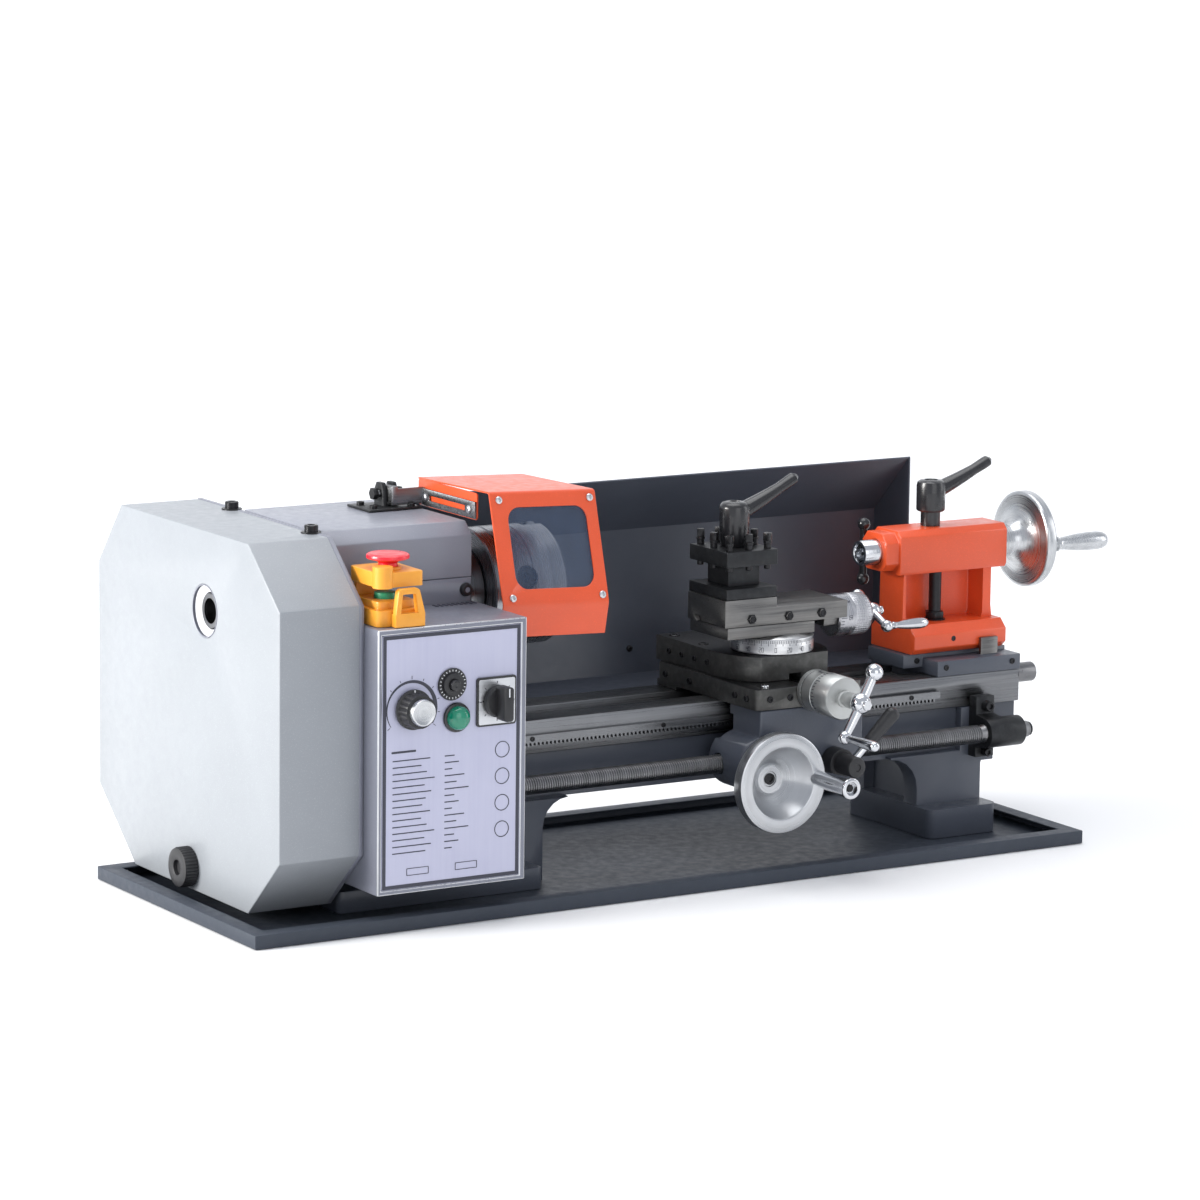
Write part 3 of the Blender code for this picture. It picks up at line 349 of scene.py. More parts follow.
def turned(name, mat, axis, cu, cv, prof, n=64, closed=False, lobes=0, lobe_depth=0.0, lobe_rows=()):
    verts, faces, rings = [], [], []
    for k, (a, r) in enumerate(prof):
        if r <= 0:
            rings.append([len(verts)])
            verts.append(put(axis, a, cu, cv))
        else:
            rings.append(list(range(len(verts), len(verts) + n)))
            for i in range(n):
                t = 2 * math.pi * i / n
                rr = r
                if lobes and k in lobe_rows:
                    rr = r - lobe_depth * (0.5 - 0.5 * math.cos(lobes * t)) ** 1.5
                verts.append(put(axis, a, cu + rr * math.cos(t), cv + rr * math.sin(t)))
    pairs = list(zip(rings, rings[1:])) + ([(rings[-1], rings[0])] if closed else [])
    for p, q in pairs:
        for i in range(n):
            j = (i + 1) % n
            if len(p) == 1 and len(q) == 1:
                continue
            if len(p) == 1:
                faces.append((p[0], q[i], q[j]))
            elif len(q) == 1:
                faces.append((p[i], p[j], q[0]))
            else:
                faces.append((p[i], p[j], q[j], q[i]))
    if not closed:
        for ring, rev in ((rings[0], True), (rings[-1], False)):
            if len(ring) > 1:
                faces.append(tuple(ring[::-1]) if rev else tuple(ring))
    return finish_mesh(name, verts, faces, mat)


def cyl(name, mat, axis, cu, cv, r, a0, a1, n=48, ch=0.0):
    if ch:
        d = ch if a1 > a0 else -ch
        return turned(name, mat, axis, cu, cv, [(a0, r - ch), (a0 + d, r), (a1 - d, r), (a1, r - ch)], n)
    return turned(name, mat, axis, cu, cv, [(a0, r), (a1, r)], n)


def tube(name, mat, axis, cu, cv, r0, r1, a0, a1, n=64):
    return turned(name, mat, axis, cu, cv, [(a0, r0), (a0, r1), (a1, r1), (a1, r0)], n, closed=True)


def ball(name, mat, c, r, n=32, m=18):
    prof = [(c[2] - r * math.cos(math.pi * k / m), r * math.sin(math.pi * k / m)) for k in range(m + 1)]
    prof[0], prof[-1] = (prof[0][0], 0.0), (prof[-1][0], 0.0)
    return turned(name, mat, "z", c[0], c[1], prof, n)


def sweep(name, mat, pts, radii, n=24, flat=1.0):
    """A bar of round section through points; flat under 1 squashes it sideways. The ends are closed with flat caps."""
    P = [Vector(p) for p in pts]
    verts, faces, rings = [], [], []
    up = Vector((0, 0, 1))
    for k, p in enumerate(P):
        d = (P[min(k + 1, len(P) - 1)] - P[max(k - 1, 0)]).normalized()
        u = d.cross(up)
        u = u.normalized() if u.length > 1e-4 else Vector((1, 0, 0))
        w = u.cross(d).normalized()
        rings.append(list(range(len(verts), len(verts) + n)))
        for i in range(n):
            t = 2 * math.pi * i / n
            verts.append(tuple(p + u * radii[k] * flat * math.cos(t) + w * radii[k] * math.sin(t)))
    for p, q in zip(rings, rings[1:]):
        for i in range(n):
            faces.append((p[i], p[(i + 1) % n], q[(i + 1) % n], q[i]))
    faces.append(tuple(rings[0][::-1]))
    faces.append(tuple(rings[-1]))
    return finish_mesh(name, verts, faces, mat)


def capped(pts, r0, r1, steps=5):
    """Points and radii of a straight bar with domed ends."""
    a, b = Vector(pts[0]), Vector(pts[1])
    d = (b - a).normalized()
    P, R = [], []
    for k in range(steps):
        t = math.radians(90 * k / steps)
        P.append(a + d * r0 * (1 - math.cos(math.radians(90) - t) * 1.0) * 0 + d * (r0 - r0 * math.cos(t)) * 0 + d * (-r0 * math.cos(t) + r0))
        R.append(max(r0 * math.sin(t), 0.15))
    P.append(a + d * r0)
    R.append(r0)
    P.append(b - d * r1)
    R.append(r1)
    for k in range(1, steps + 1):
        t = math.radians(90 * k / steps)
        P.append(b - d * r1 + d * r1 * math.sin(t))
        R.append(max(r1 * math.cos(t), 0.15))
    return [tuple(p) for p in P], R


def boolean(kind, a, *others, keep=False):
    for b in others:
        mod = a.modifiers.new("b", "BOOLEAN")
        mod.operation = kind
        mod.solver = "EXACT"
        mod.object = b
        dg = bpy.context.evaluated_depsgraph_get()
        me = bpy.data.meshes.new_from_object(a.evaluated_get(dg))
        a.modifiers.clear()
        old = a.data
        a.data = me
        bpy.data.meshes.remove(old)
        if not keep:
            bpy.data.objects.remove(b, do_unlink=True)
    return a


def cut(a, *o):
    return boolean("DIFFERENCE", a, *o)


def add(a, *o):
    return boolean("UNION", a, *o)


def merge(name, objs):
    """Several separate meshes as one object, keeping their materials."""
    bm = bmesh.new()
    mats = []
    for o in objs:
        off = {}
        for i, m in enumerate(o.data.materials):
            if m not in mats:
                mats.append(m)
            off[i] = mats.index(m)
        me = o.data.copy()
        for p in me.polygons:
            p.material_index = off.get(p.material_index, 0)
        bm.from_mesh(me)
        bpy.data.meshes.remove(me)
    me = bpy.data.meshes.new(name)
    bm.to_mesh(me)
    bm.free()
    for m in mats:
        me.materials.append(m)
    for o in objs:
        bpy.data.objects.remove(o, do_unlink=True)
    o = bpy.data.objects.new(name, me)
    bpy.context.scene.collection.objects.link(o)
    return o


def shade(o, deg=35):
    bm = bmesh.new()
    bm.from_mesh(o.data)
    lim = math.radians(deg)
    for f in bm.faces:
        f.smooth = True
    for e in bm.edges:
        e.smooth = len(e.link_faces) == 2 and e.calc_face_angle(9.0) < lim
    bm.to_mesh(o.data)
    bm.free()
    return o


def flat_area(bm):
    """Area of each face as it is drawn, from its triangles."""
    got = {}
    for tri in bm.calc_loop_triangles():
        a, b, c = (l.vert.co for l in tri)
        f = tri[0].face.index
        got[f] = got.get(f, 0.0) + (b - a).cross(c - a).length * 0.5
    return got


def folded(bm):
    """Faces whose triangles cover more than the face itself, so they lie over a hole."""
    bm.faces.index_update()
    got = flat_area(bm)
    return [f for f in bm.faces if len(f.verts) > 3 and abs(got.get(f.index, 0.0) - f.calc_area()) > 4e-7 + 0.02 * f.calc_area()]


def retile(bm, faces):
    """Replaces folded faces with triangles that keep to their outline."""
    for f in list(faces):
        co = [v.co.copy() for v in f.verts]
        n = f.normal.copy()
        best = max(range(len(co)), key=lambda k: (co[k] - co[0]).length)
        ax = (co[best] - co[0]).normalized()
        ay = n.cross(ax).normalized()
        o = co[0]
        flat = [Vector(((c - o).dot(ax), (c - o).dot(ay))) for c in co]
        m = len(flat)
        try:
            vs, es, fs, ov, oe, of_ = delaunay_2d_cdt(flat, [(k, (k + 1) % m) for k in range(m)], [], 0, 1e-7)
        except Exception:
            continue
        mat_i = f.material_index
        made = {}
        keep = []
        for t in fs:
            c = (vs[t[0]] + vs[t[1]] + vs[t[2]]) / 3.0
            inside = False
            for k in range(m):
                p, q = flat[k], flat[(k + 1) % m]
                if (p.y > c.y) != (q.y > c.y) and c.x < (q.x - p.x) * (c.y - p.y) / (q.y - p.y) + p.x:
                    inside = not inside
            if inside:
                keep.append(t)
        verts = list(f.verts)
        bm.faces.remove(f)

        def vert(k):
            if k not in made:
                src = ov[k]
                made[k] = verts[src[0]] if src and src[0] < m else bm.verts.new(o + ax * vs[k].x + ay * vs[k].y)
            return made[k]
        for t in keep:
            tri = [vert(k) for k in t]
            a, b, c = (v.co for v in tri)
            if (b - a).cross(c - a).dot(n) < 0:
                tri = tri[::-1]
            try:
                g = bm.faces.new(tri)
                g.material_index = mat_i
            except ValueError:
                pass


def bevel(o, w=0.6, seg=2, angle=35, clamp=True):
    """Rounds the sharp edges; an edge beside a wall too thin for the round stays sharp."""
    base = bmesh.new()
    base.from_mesh(o.data)
    bmesh.ops.remove_doubles(base, verts=base.verts, dist=0.000004)
    bmesh.ops.dissolve_limit(base, angle_limit=math.radians(0.6), verts=base.verts, edges=base.edges)
    base.normal_update()
    retile(base, folded(base))
    base.normal_update()
    lim = math.radians(angle)
    skip = set()
    bm = None
    for go in range(6):
        if bm:
            bm.free()
        bm = base.copy()
        bm.edges.ensure_lookup_table()
        bm.edges.index_update()
        geom = [e for e in bm.edges if e.index not in skip and len(e.link_faces) == 2 and e.calc_face_angle(0.0) > lim]
        bmesh.ops.bevel(bm, geom=geom, offset=w * MM, segments=seg, affect="EDGES", profile=0.5, clamp_overlap=clamp)
        bmesh.ops.remove_doubles(bm, verts=bm.verts, dist=0.000002)
        bm.normal_update()
        bad = folded(bm)
        if not bad:
            break
        base.edges.ensure_lookup_table()
        base.edges.index_update()
        before, reach = len(skip), w * MM * 1.6
        for f in bad:
            lo = [min(v.co[k] for v in f.verts) - reach for k in range(3)]
            hi = [max(v.co[k] for v in f.verts) + reach for k in range(3)]
            for e in base.edges:
                if e.index in skip or len(e.link_faces) != 2 or e.calc_face_angle(0.0) <= lim:
                    continue
                a, b = e.verts[0].co, e.verts[1].co
                if all(lo[k] <= a[k] <= hi[k] and lo[k] <= b[k] <= hi[k] for k in range(3)):
                    skip.add(e.index)
        if len(skip) == before:
            break
    bad = folded(bm)
    if bad:
        retile(bm, bad)
    base.free()
    bm.to_mesh(o.data)
    bm.free()
    return o


def on(o, body, slot_name=None, *nodes, deg=35):
    shade(o, deg)
    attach(o, body)
    if nodes:
        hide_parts(*nodes)
    PIECES.append(o)
    return o


def take(node, mat, w=0.6, seg=2, angle=35, pick=None, name=None, deg=35, clamp=True):
    """A finished copy of a CAD node: clean faces, rounded edges, material by region."""
    src = frame["nodes"][node]
    me = src.data.copy()
    me.materials.clear()
    me.materials.append(mat)
    for p in me.polygons:
        p.material_index = 0
    o = bpy.data.objects.new(name or node + "_skin", me)
    bpy.context.scene.collection.objects.link(o)
    bm = bmesh.new()
    bm.from_mesh(me)
    bmesh.ops.remove_doubles(bm, verts=bm.verts, dist=0.000004)
    bmesh.ops.dissolve_limit(bm, angle_limit=math.radians(0.6), verts=bm.verts, edges=bm.edges)
    bm.to_mesh(me)
    bm.free()
    for a in list(me.attributes):
        if a.name in ("custom_normal", "sharp_edge", "sharp_face"):
            try:
                me.attributes.remove(a)
            except Exception:
                pass
    if w:
        bevel(o, w, seg, angle, clamp)
    if pick:
        extra = []
        for m, test in pick:
            o.data.materials.append(m)
            idx = len(o.data.materials) - 1
            for p in o.data.polygons:
                c, n = p.center / MM, p.normal
                if test(c, n):
                    p.material_index = idx
    return on(o, NODE_BODY[node], NODE_SLOT[node], node, deg=deg)


def socket_screw(name, mat, axis, cu, cv, a, out, r=3.0, h=2.6, hexr=None):
    """A cap screw standing on a face, its socket cut in. out is +1 or -1 along the axis."""
    hexr = hexr or r * 0.52
    n = 24
    prof = [(a, r), (a + out * (h - r * 0.12), r), (a + out * h, r * 0.88), (a + out * h, hexr * 1.05), (a + out * h * 0.45, hexr), (a + out * h * 0.45, 0)]
    return turned(name, mat, axis, cu, cv, prof, n)


def pan_screw(name, mat, axis, cu, cv, a, out, r=3.0, h=1.6):
    """A pan-head screw with a shallow cross recess."""
    prof = [(a, r), (a + out * h * 0.45, r * 0.98), (a + out * h * 0.8, r * 0.8), (a + out * h, r * 0.45), (a + out * h, 0)]
    o = turned(name, mat, axis, cu, cv, prof, 24)
    t = r * 0.16
    b1 = rbox_pts(cu - r * 0.55, cu + r * 0.55, cv - t, cv + t, t * 0.5, 2)
    b2 = rbox_pts(cu - t, cu + t, cv - r * 0.55, cv + r * 0.55, t * 0.5, 2)
    cut(o, prism("t", mat, axis, b1, a + out * h * 0.45, a + out * h * 2), prism("t", mat, axis, b2, a + out * h * 0.45, a + out * h * 2))
    return o


def hexagon(name, mat, axis, cu, cv, r, a0, a1):
    o = turned(name, mat, axis, cu, cv, [(a0, r), (a1, r)], 6)
    return bevel(o, 0.3, 1, 25)


# ================================================================ tray, bed, rack, leadscrew
BASE = "machine_base"
take("chip_tray", TRAY, 0.7)
in_rail = lambda c, n: (c[2] > 108.6 and -48.4 < c[1] < -19.6) or (c[2] > 105.6 and 19.6 < c[1] < 50.4) and not (c[2] < 109 and abs(n[2]) < 0.3 and c[1] > 49)
take("bed", SLATE, 0.8, 2, 35, [
    (STEEL, lambda c, n: c[0] < 397.2 and ((c[2] > 109.4 and -48.3 < c[1] < -19.7) or (c[2] > 106.4 and 19.7 < c[1] < 50.3))),
    (STEEL_Y, lambda c, n: c[0] > 397.2 and c[2] > 120)], clamp=False)

# rack with teeth along its lower edge
pts = [(310, 125.5), (-105, 125.5), (-105, 119.6)]
x, pitch = -103.0, 3.9
while x + pitch < 309:
    pts += [(x, 119.6), (x + 0.75, 116.7), (x + 1.7, 116.7), (x + 2.45, 119.6)]
    x += pitch
pts += [(310, 119.6)]
rack = prism("rack_bar", STEEL, "y", pts[::-1], -53.2, -48.3)
on(rack, BASE, "ground_steel", "rack", deg=20)
trim = [socket_screw("s", BLACKS, "y", sx, 122.6, -53.2, -1, 2.1, 0.9) for sx in (-98, 28.7, 155, 280)]
on(merge("rack_screws", trim), BASE, "black_oxide")


def thread(name, mat, y, z, x0, x1, r, depth, pitch, seg=24):
    """A true helical thread running from x0 to x1, without a core or ends of its own."""
    turns = int((x1 - x0) / pitch)
    prof = [(0.0, r - depth), (0.30, r), (0.55, r), (0.85, r - depth)]
    verts, faces = [], []
    total = turns * seg
    for i in range(total + 1):
        t = 2 * math.pi * i / seg
        for f, rr in prof:
            xx = x0 + (i / seg + f) * pitch
            verts.append((xx, y + rr * math.cos(t), z + rr * math.sin(t)))
    k = len(prof)
    for i in range(total):
        for j in range(k - 1):
            a = i * k + j
            faces.append((a, a + k, a + k + 1, a + 1))
        j = k - 1
        if i + seg <= total:
            a, b2 = i * k + j, (i + seg) * k
            if i + seg + 1 <= total:
                faces.append((a, a + k, b2 + k, b2))
    o = finish_mesh(name, verts, faces, mat)
    return o


th = thread("leadscrew_thread", SCREWM, -72, 89, -235, 339, 7.95, 0.9, 2.2)
core = turned("t", SCREWM, "x", -72, 89, [(-349, 5), (-348, 6), (-300, 6), (-300, 8), (-236, 8), (-234, 6.6), (340, 6.6), (342, 8), (342.7, 8), (342.7, 7), (388.5, 7), (390, 5.6)], 48)
on(merge("leadscrew_body", [th, core]), "feed_screw", "ground_steel", "leadscrew", deg=50)

# brackets that carry the leadscrew
take("leadscrew_bracket_right", BLACK, 0.6, clamp=False)
take("leadscrew_bracket_left", BLACK, 0.6, clamp=False)
on(merge("bracket_screws", [socket_screw("s", BLACKS, "y", 352.5, 111, -66, -1, 4.4, 3.2), socket_screw("s", BLACKS, "y", 352.5, 70.5, -65, -1, 3.6, 2.6),
                            socket_screw("s", BLACKS, "x", -72 - 0, 89, 390.0, 1, 6.0, 2.0)]), BASE, "black_oxide")

# ================================================================ splash guard
take("backsplash", SLATE, 0.25)
trim = [pan_screw("s", BLACKS, "y", x, z, 132, -1, 2.9, 1.8) for x in (-90, 110, 320) for z in (150,)]
trim += [pan_screw("s", BLACKS, "z", x, 60, 128, 1, 2.9, 1.6) for x in (-90, 110, 320)]
trim += [pan_screw("s", BLACKS, "x", 112, z, 365.5, -1, 2.6, 1.6) for z in (160, 235)]
on(merge("splash_screws", trim), BASE, "black_oxide")

# ================================================================ headstock
take("headstock_casting", GREY, 0.9, 2, clamp=False)
take("headstock_cover", MID, 0.9, 3, clamp=False)
plug = turned("headstock_plug", PLASTICG, "y", -169.5, 254.6, [(-65.4, 5.6), (-66.6, 5.6), (-67.0, 5.3), (-69.1, 4.9), (-69.6, 4.2), (-69.6, 2.4), (-68.8, 2.2), (-68.8, 0)], 40)
on(plug, BASE, "black_plastic")
vent = []
for i in range(9):
    x = -203 + i * 4.4
    vent.append(round_box("s", INK, "z", x, x + 2.6, -78, -69, 1.2, 244.7, 245.0, 4))
on(merge("box_vents", vent), BASE, "black_plastic")
for nm in ("spindle_bearing_rear", "spindle_bearing_front"):
    take(nm, SPINM, 0.4)
sp = turned("spindle_body", SPINM, "x", 0, S,
            [(-366, 10.3), (-366, 14), (-365, 15), (-300, 15), (-300, 17), (-150, 17), (-150, 31), (-149, 32), (-132.3, 32), (-131.3, 31), (-131.3, 10.3)], 96, closed=True)
on(sp, "spindle_line", "black_oxide", "spindle")
pu = turned("drive_pulley", ALU_T, "x", 0, S,
            [(-345, 15.3), (-345, 21.2), (-344.4, 21.85), (-337.6, 21.85), (-337, 21.2), (-337, 19), (-330, 19), (-330, 37.4), (-329.4, 38), (-327.6, 38), (-327, 37.4), (-327, 34), (-315, 34), (-315, 37.4), (-314.4, 38), (-312.6, 38), (-312, 37.4), (-312, 15.3)], 96, closed=True)
on(pu, "spindle_line", "turned_aluminium", "spindle_pulley")


def gear(name, cy, cz, r0, r, x0, x1, teeth, body, node, mat=GEARM):
    """A spur gear whose teeth reach its pitch disc."""
    pts = []
    for i in range(teeth):
        for f, rr in ((0.0, r - 2.0), (0.16, r - 1.9), (0.32, r), (0.56, r), (0.72, r - 1.9)):
            t = 2 * math.pi * (i + f) / teeth
            pts.append((cy + rr * math.cos(t), cz + rr * math.sin(t)))
    o = prism(name, mat, "x", pts, x0, x1)
    cut(o, cyl("t", mat, "x", cy, cz, r0, x0 - 5, x1 + 5, 48))
    for k in range(4):
        a = math.radians(45 + 90 * k)
        rm = (r0 + r) / 2
        cut(o, cyl("t", mat, "x", cy + rm * math.cos(a), cz + rm * math.sin(a), (r - r0) * 0.16, x0 - 5, x1 + 5, 24))
    return on(o, body, "gear_steel", node, deg=25)


D = math.hypot(72, 89 - 242.7)
ux, uz = -72 / D, (89 - 242.7) / D
A = (ux * 52, 242.7 + uz * 52)
B = (ux * 110.85, 242.7 + uz * 110.85)
gear("idler_a", A[0], A[1], 6.3, 29.85, -345, -337, 40, "idler_1", "idler_gear_1")
gear("idler_b", B[0], B[1], 6.3, 28.7, -345, -337, 38, "idler_2", "idler_gear_2")
gear("screw_gear", -72, 89, 6.3, 29.85, -345, -337, 40, "feed_screw", "leadscrew_gear")
take("gear_quadrant", BLACK, 0.6, clamp=False)
take("drive_belt", RUBBER, 0.5, clamp=False)
take("motor_pulley", ALU_T, 0.4, clamp=False)

# motor with fins along its shell and an end bell
fins = []
n = 40
pts = []
for i in range(n):
    for f, rr in ((0.0, 39.2), (0.3, 39.2), (0.42, 41.9), (0.72, 41.9), (0.84, 39.2)):
        t = 2 * math.pi * (i + f) / n
        pts.append((118 + rr * math.cos(t), 95 + rr * math.sin(t)))
shell = prism("t", BLACK, "x", pts, -284, -184)
bells = turned("t", PLASTIC, "x", 118, 95, [(-290, 0), (-290, 40), (-288, 42), (-284.5, 42), (-284, 41), (-284, 38), (-184, 38), (-184, 41), (-183, 42), (-174, 42), (-168, 38), (-165, 34), (-165, 12), (-167, 10), (-167, 0)], 72)
plate = box("t", BLACK, -296.1, -290.3, 22, 160, 48, 132)
bevel(plate, 1.5, 2)
shaft = cyl("t", SPINM, "x", 118, 95, 7, -334, -290, 40, 0.6)
bolts = [socket_screw("t", BLACKS, "x", y, z, -296.1, -1, 3.6, 0.4) for y, z in ((34, 60), (34, 120), (152, 60), (152, 120))]
on(merge("motor_unit", [shell, bells, plate, shaft] + bolts), BASE, "black_oxide", "motor", deg=25)

# ================================================================ gear cover
cov = take("gear_cover", LIGHT, 1.1, 3, 30, clamp=False)
oc = [(-74, 11.5), (-126.9, 61.5), (-126.9, 260.9), (-74, 307.8), (149.2, 307.8), (191.5, 255.4), (191.5, 68.1), (125, 11.5)]


def ring_strip(name, mat, poly, off, x0, x1, out):
    """A thin raised lip round the cover's outline."""
    cy = sum(p[0] for p in poly) / len(poly)
    cz = sum(p[1] for p in poly) / len(poly)
    k = len(poly)

    def offset(d):
        res = []
        for i in range(k):
            p0, p1, p2 = Vector(poly[i - 1]), Vector(poly[i]), Vector(poly[(i + 1) % k])
            e1, e2 = (p1 - p0).normalized(), (p2 - p1).normalized()
            n1, n2 = Vector((e1.y, -e1.x)), Vector((e2.y, -e2.x))
            if (p1 - Vector((cy, cz))).dot(n1) < 0:
                n1 = -n1
            if (p1 - Vector((cy, cz))).dot(n2) < 0:
                n2 = -n2
            b = (n1 + n2).normalized()
            res.append(p1 + b * d / max(0.2, b.dot(n1)))
        return res
    inn, o2 = offset(-0.4), offset(out)
    verts, faces = [], []
    for x in (x0, x1):
        for r in (inn, o2):
            verts += [(x, p.x, p.y) for p in r]
    for i in range(k):
        j = (i + 1) % k
        a0, b0, a1, b1 = i, k + i, 2 * k + i, 3 * k + i
        a0j, b0j, a1j, b1j = j, k + j, 2 * k + j, 3 * k + j
        faces += [(b0, b0j, b1j, b1), (a0, a1, a1j, a0j), (a0, a0j, b0j, b0), (a1, b1, b1j, a1j)]
    return finish_mesh(name, verts, faces, mat)


lip = ring_strip("cover_lip", GREY, [p if p[1] > 12 else (p[0], 12.2) for p in oc], 0, -300.5, -297.0, 0.5)
on(bevel(lip, 0.2, 1), "end_cover", "grey_paint")
cs = [socket_screw("s", BLACKS, "z", -301.5, y, 308.0, 1, 5.6, 6.4) for y in (87, -49)]
cs += [turned("s", BLACKS, "z", -301.5, y, [(307.9, 8.4), (308.7, 8.4), (308.9, 8.0), (308.9, 0)], 40) for y in (87, -49)]
on(merge("cover_screws", cs), "end_cover", "black_oxide")
knob = turned("cover_knob_body", PLASTIC, "x", 26.2, 30.2,
              [(-371.3, 15.5), (-371.6, 16.5), (-380.6, 16.5), (-382.6, 15.6), (-383.3, 13.6), (-383.3, 7.4), (-382.8, 6.4), (-379.6, 5.8), (-379.6, 0)], 180,
              lobes=36, lobe_depth=0.9, lobe_rows=(1, 2))
on(knob, "end_cover", "black_plastic", "gear_cover_knob", deg=30)
ring = tube("cover_hole_ring", GREY, "x", 0, 243, 20.6, 21.4, -371.0, -368.6, 96)
on(ring, "end_cover", "grey_paint")

# ================================================================ chuck
bp = turned("chuck_back", CHUCKM, "x", 0, S, [(-131, 12), (-131, 48.6), (-130, 49.8), (-120, 49.8), (-119, 48.8), (-119, 12)], 128, closed=True)
on(bp, "spindle_line", "ground_steel", "chuck_backplate")
ck = turned("chuck_shell", CHUCKM, "x", 0, S, [(-118.7, 12), (-118.7, 48.6), (-117.7, 49.9), (-95, 49.9), (-94.2, 49.4), (-93.4, 49.9), (-64.5, 49.9), (-62, 47.4), (-62, 16), (-63.5, 14), (-63.5, 12)], 128, closed=True)
for k in range(3):
    ang = math.radians(90 + 120 * k)
    sl = box("t", CHUCKM, -82, -55, -6.0, 6.0, 5, 60)
    sl2 = box("t", CHUCKM, -75, -71, -7.6, 7.6, 5, 60)
    for o in (sl, sl2):
        for v in o.data.vertices:
            y, z = v.co.y, v.co.z
            v.co.y = y * math.sin(ang) + z * math.cos(ang)
            v.co.z = -y * math.cos(ang) + z * math.sin(ang) + S * MM
        cut(ck, o)
    a = math.radians(164 + 120 * k)
    c, s = math.cos(a), math.sin(a)
    hole = sweep("t", BLACK, [(-101, c * 40, S + s * 40), (-101, c * 60, S + s * 60)], [9.8, 9.8], 48)
    cut(ck, hole)
on(ck, "spindle_line", "ground_steel", "chuck_body", deg=30)
pin = []
for k in range(3):
    a = math.radians(164 + 120 * k)
    c, s = math.cos(a), math.sin(a)
    o = sweep("t", BLACK, [(-101, c * 41, S + s * 41), (-101, c * 46.5, S + s * 46.5)], [8.6, 8.6], 40)
    q = sweep("t", BLACK, [(-101, c * 43, S + s * 43), (-101, c * 60, S + s * 60)], [4.6, 4.6], 4)
    cut(o, q)
    pin.append(o)
    a2 = math.radians(104 + 120 * k)
    c2, s2 = math.cos(a2), math.sin(a2)
    pin.append(socket_screw("t", BLACKS, "x", c2 * 37, S + s2 * 37, -62.1, 1, 3.6, 0.8))
on(merge("chuck_pinions", pin), "spindle_line", "ground_steel")
for k in range(3):
    take(f"chuck_jaw_{k + 1}", SPINM, 0.5, clamp=False)

# ================================================================ chuck guard
DROOP = math.tan(math.radians(2.3))


def droop(o):
    for v in o.data.vertices:
        v.co.z -= (v.co.x + 0.160) * DROOP
    return o


def thick_path(name, mat, path, t, x0, x1):
    """Sheet bent along a path in y and z, with rounded bends, t thick to its inner side."""
    P = [Vector(p) for p in path]
    fine = [P[0]]
    for i in range(1, len(P) - 1):
        a, b, c = P[i - 1], P[i], P[i + 1]
        d1, d2 = (a - b).normalized(), (c - b).normalized()
        r = 3.2
        for k in range(6):
            f = k / 5
            q = (b + d1 * r) * (1 - f) ** 2 + b * 2 * f * (1 - f) + (b + d2 * r) * f ** 2
            fine.append(q)
    fine.append(P[-1])
    inner = []
    for i, p in enumerate(fine):
        d = (fine[min(i + 1, len(fine) - 1)] - fine[max(i - 1, 0)]).normalized()
        inner.append(p + Vector((-d.y, d.x)) * -t)
    poly = [tuple(p) for p in fine] + [tuple(p) for p in inner[::-1]]
    return prism(name, mat, "x", poly, x0, x1)


g = thick_path("guard_sheet", ORANGE, [(29.4, 332.6), (-85, 335.5), (-110, 247), (-104, 220)], -1.5, -160, -61)
ys = [v.co.y for v in g.data.vertices]
wall = prism("t", ORANGE, "x", rbox_pts(-66, 29, 310, 331.8, 2.5), -160, -158.5)
cutter = round_box("t", ORANGE, "y", -145.4, -71.5, 259, 323, 11, -125, -70, 10)
cut(g, cutter)
g = merge("guard_sheet", [g, wall])
droop(g)
on(bevel(g, 0.25, 1, 40, False), "guard", "orange_paint", "chuck_guard", deg=40)
wy = lambda z: -85 + (z - 335.6) * 25.0 / 88.6
win = prism("guard_pane", WINDOW, "x", [(wy(328) + 1.9, 328), (wy(328) + 3.3, 328), (wy(253) + 3.3, 253), (wy(253) + 1.9, 253)], -152, -66)
droop(win)
on(win, "guard", "window_sheet", "guard_window")


def slanted_screw(x, z, r=3.1):
    o = pan_screw("s", PLATEW, "y", 0, 0, 0, -1, r, 1.7)
    tilt = math.atan2(25.0, 88.6)
    c, s = math.cos(tilt), math.sin(tilt)
    for v in o.data.vertices:
        y, zz = v.co.y, v.co.z
        v.co.y = y * c + zz * s
        v.co.z = -y * s * -1 * -1 + zz * c
        v.co.x += x * MM
        v.co.y += (wy(z) - 0.1) * MM
        v.co.z += z * MM
    return droop(o)


gs = [slanted_screw(x, z) for x, z in ((-152, 329), (-67, 329), (-150.5, 252.5), (-66.5, 252.5))]
on(merge("guard_screws", gs), "guard", "black_oxide")
# hinge bracket and slotted arm
take("guard_bracket", BLACK, 0.4, 2, clamp=False)
take("guard_arm", STEEL, 0.35, 2, clamp=False)
tr = [socket_screw("s", BLACKS, "z", x, y, 311.2, 1, 3.2, 2.8) for x, y in ((-207, 20), (-207, 42), (-173, 18), (-173, 44))]
on(merge("bracket_bolts", tr), BASE, "black_oxide")
tr = [pan_screw("s", PLATEW, "x", y, z, -162.3, -1, 3.4, 1.7) for y, z in ((-57.5, 318), (14, 318))]
on(merge("arm_screws", tr), "guard", "ground_steel")
tr = [hexagon("s", BLACKS, "x", 33, 321, 5.2, -201.5, -197.2), hexagon("s", BLACKS, "x", 33, 321, 5.2, -178.8, -174.5)]
on(merge("hinge_nuts", tr), "guard", "black_oxide")

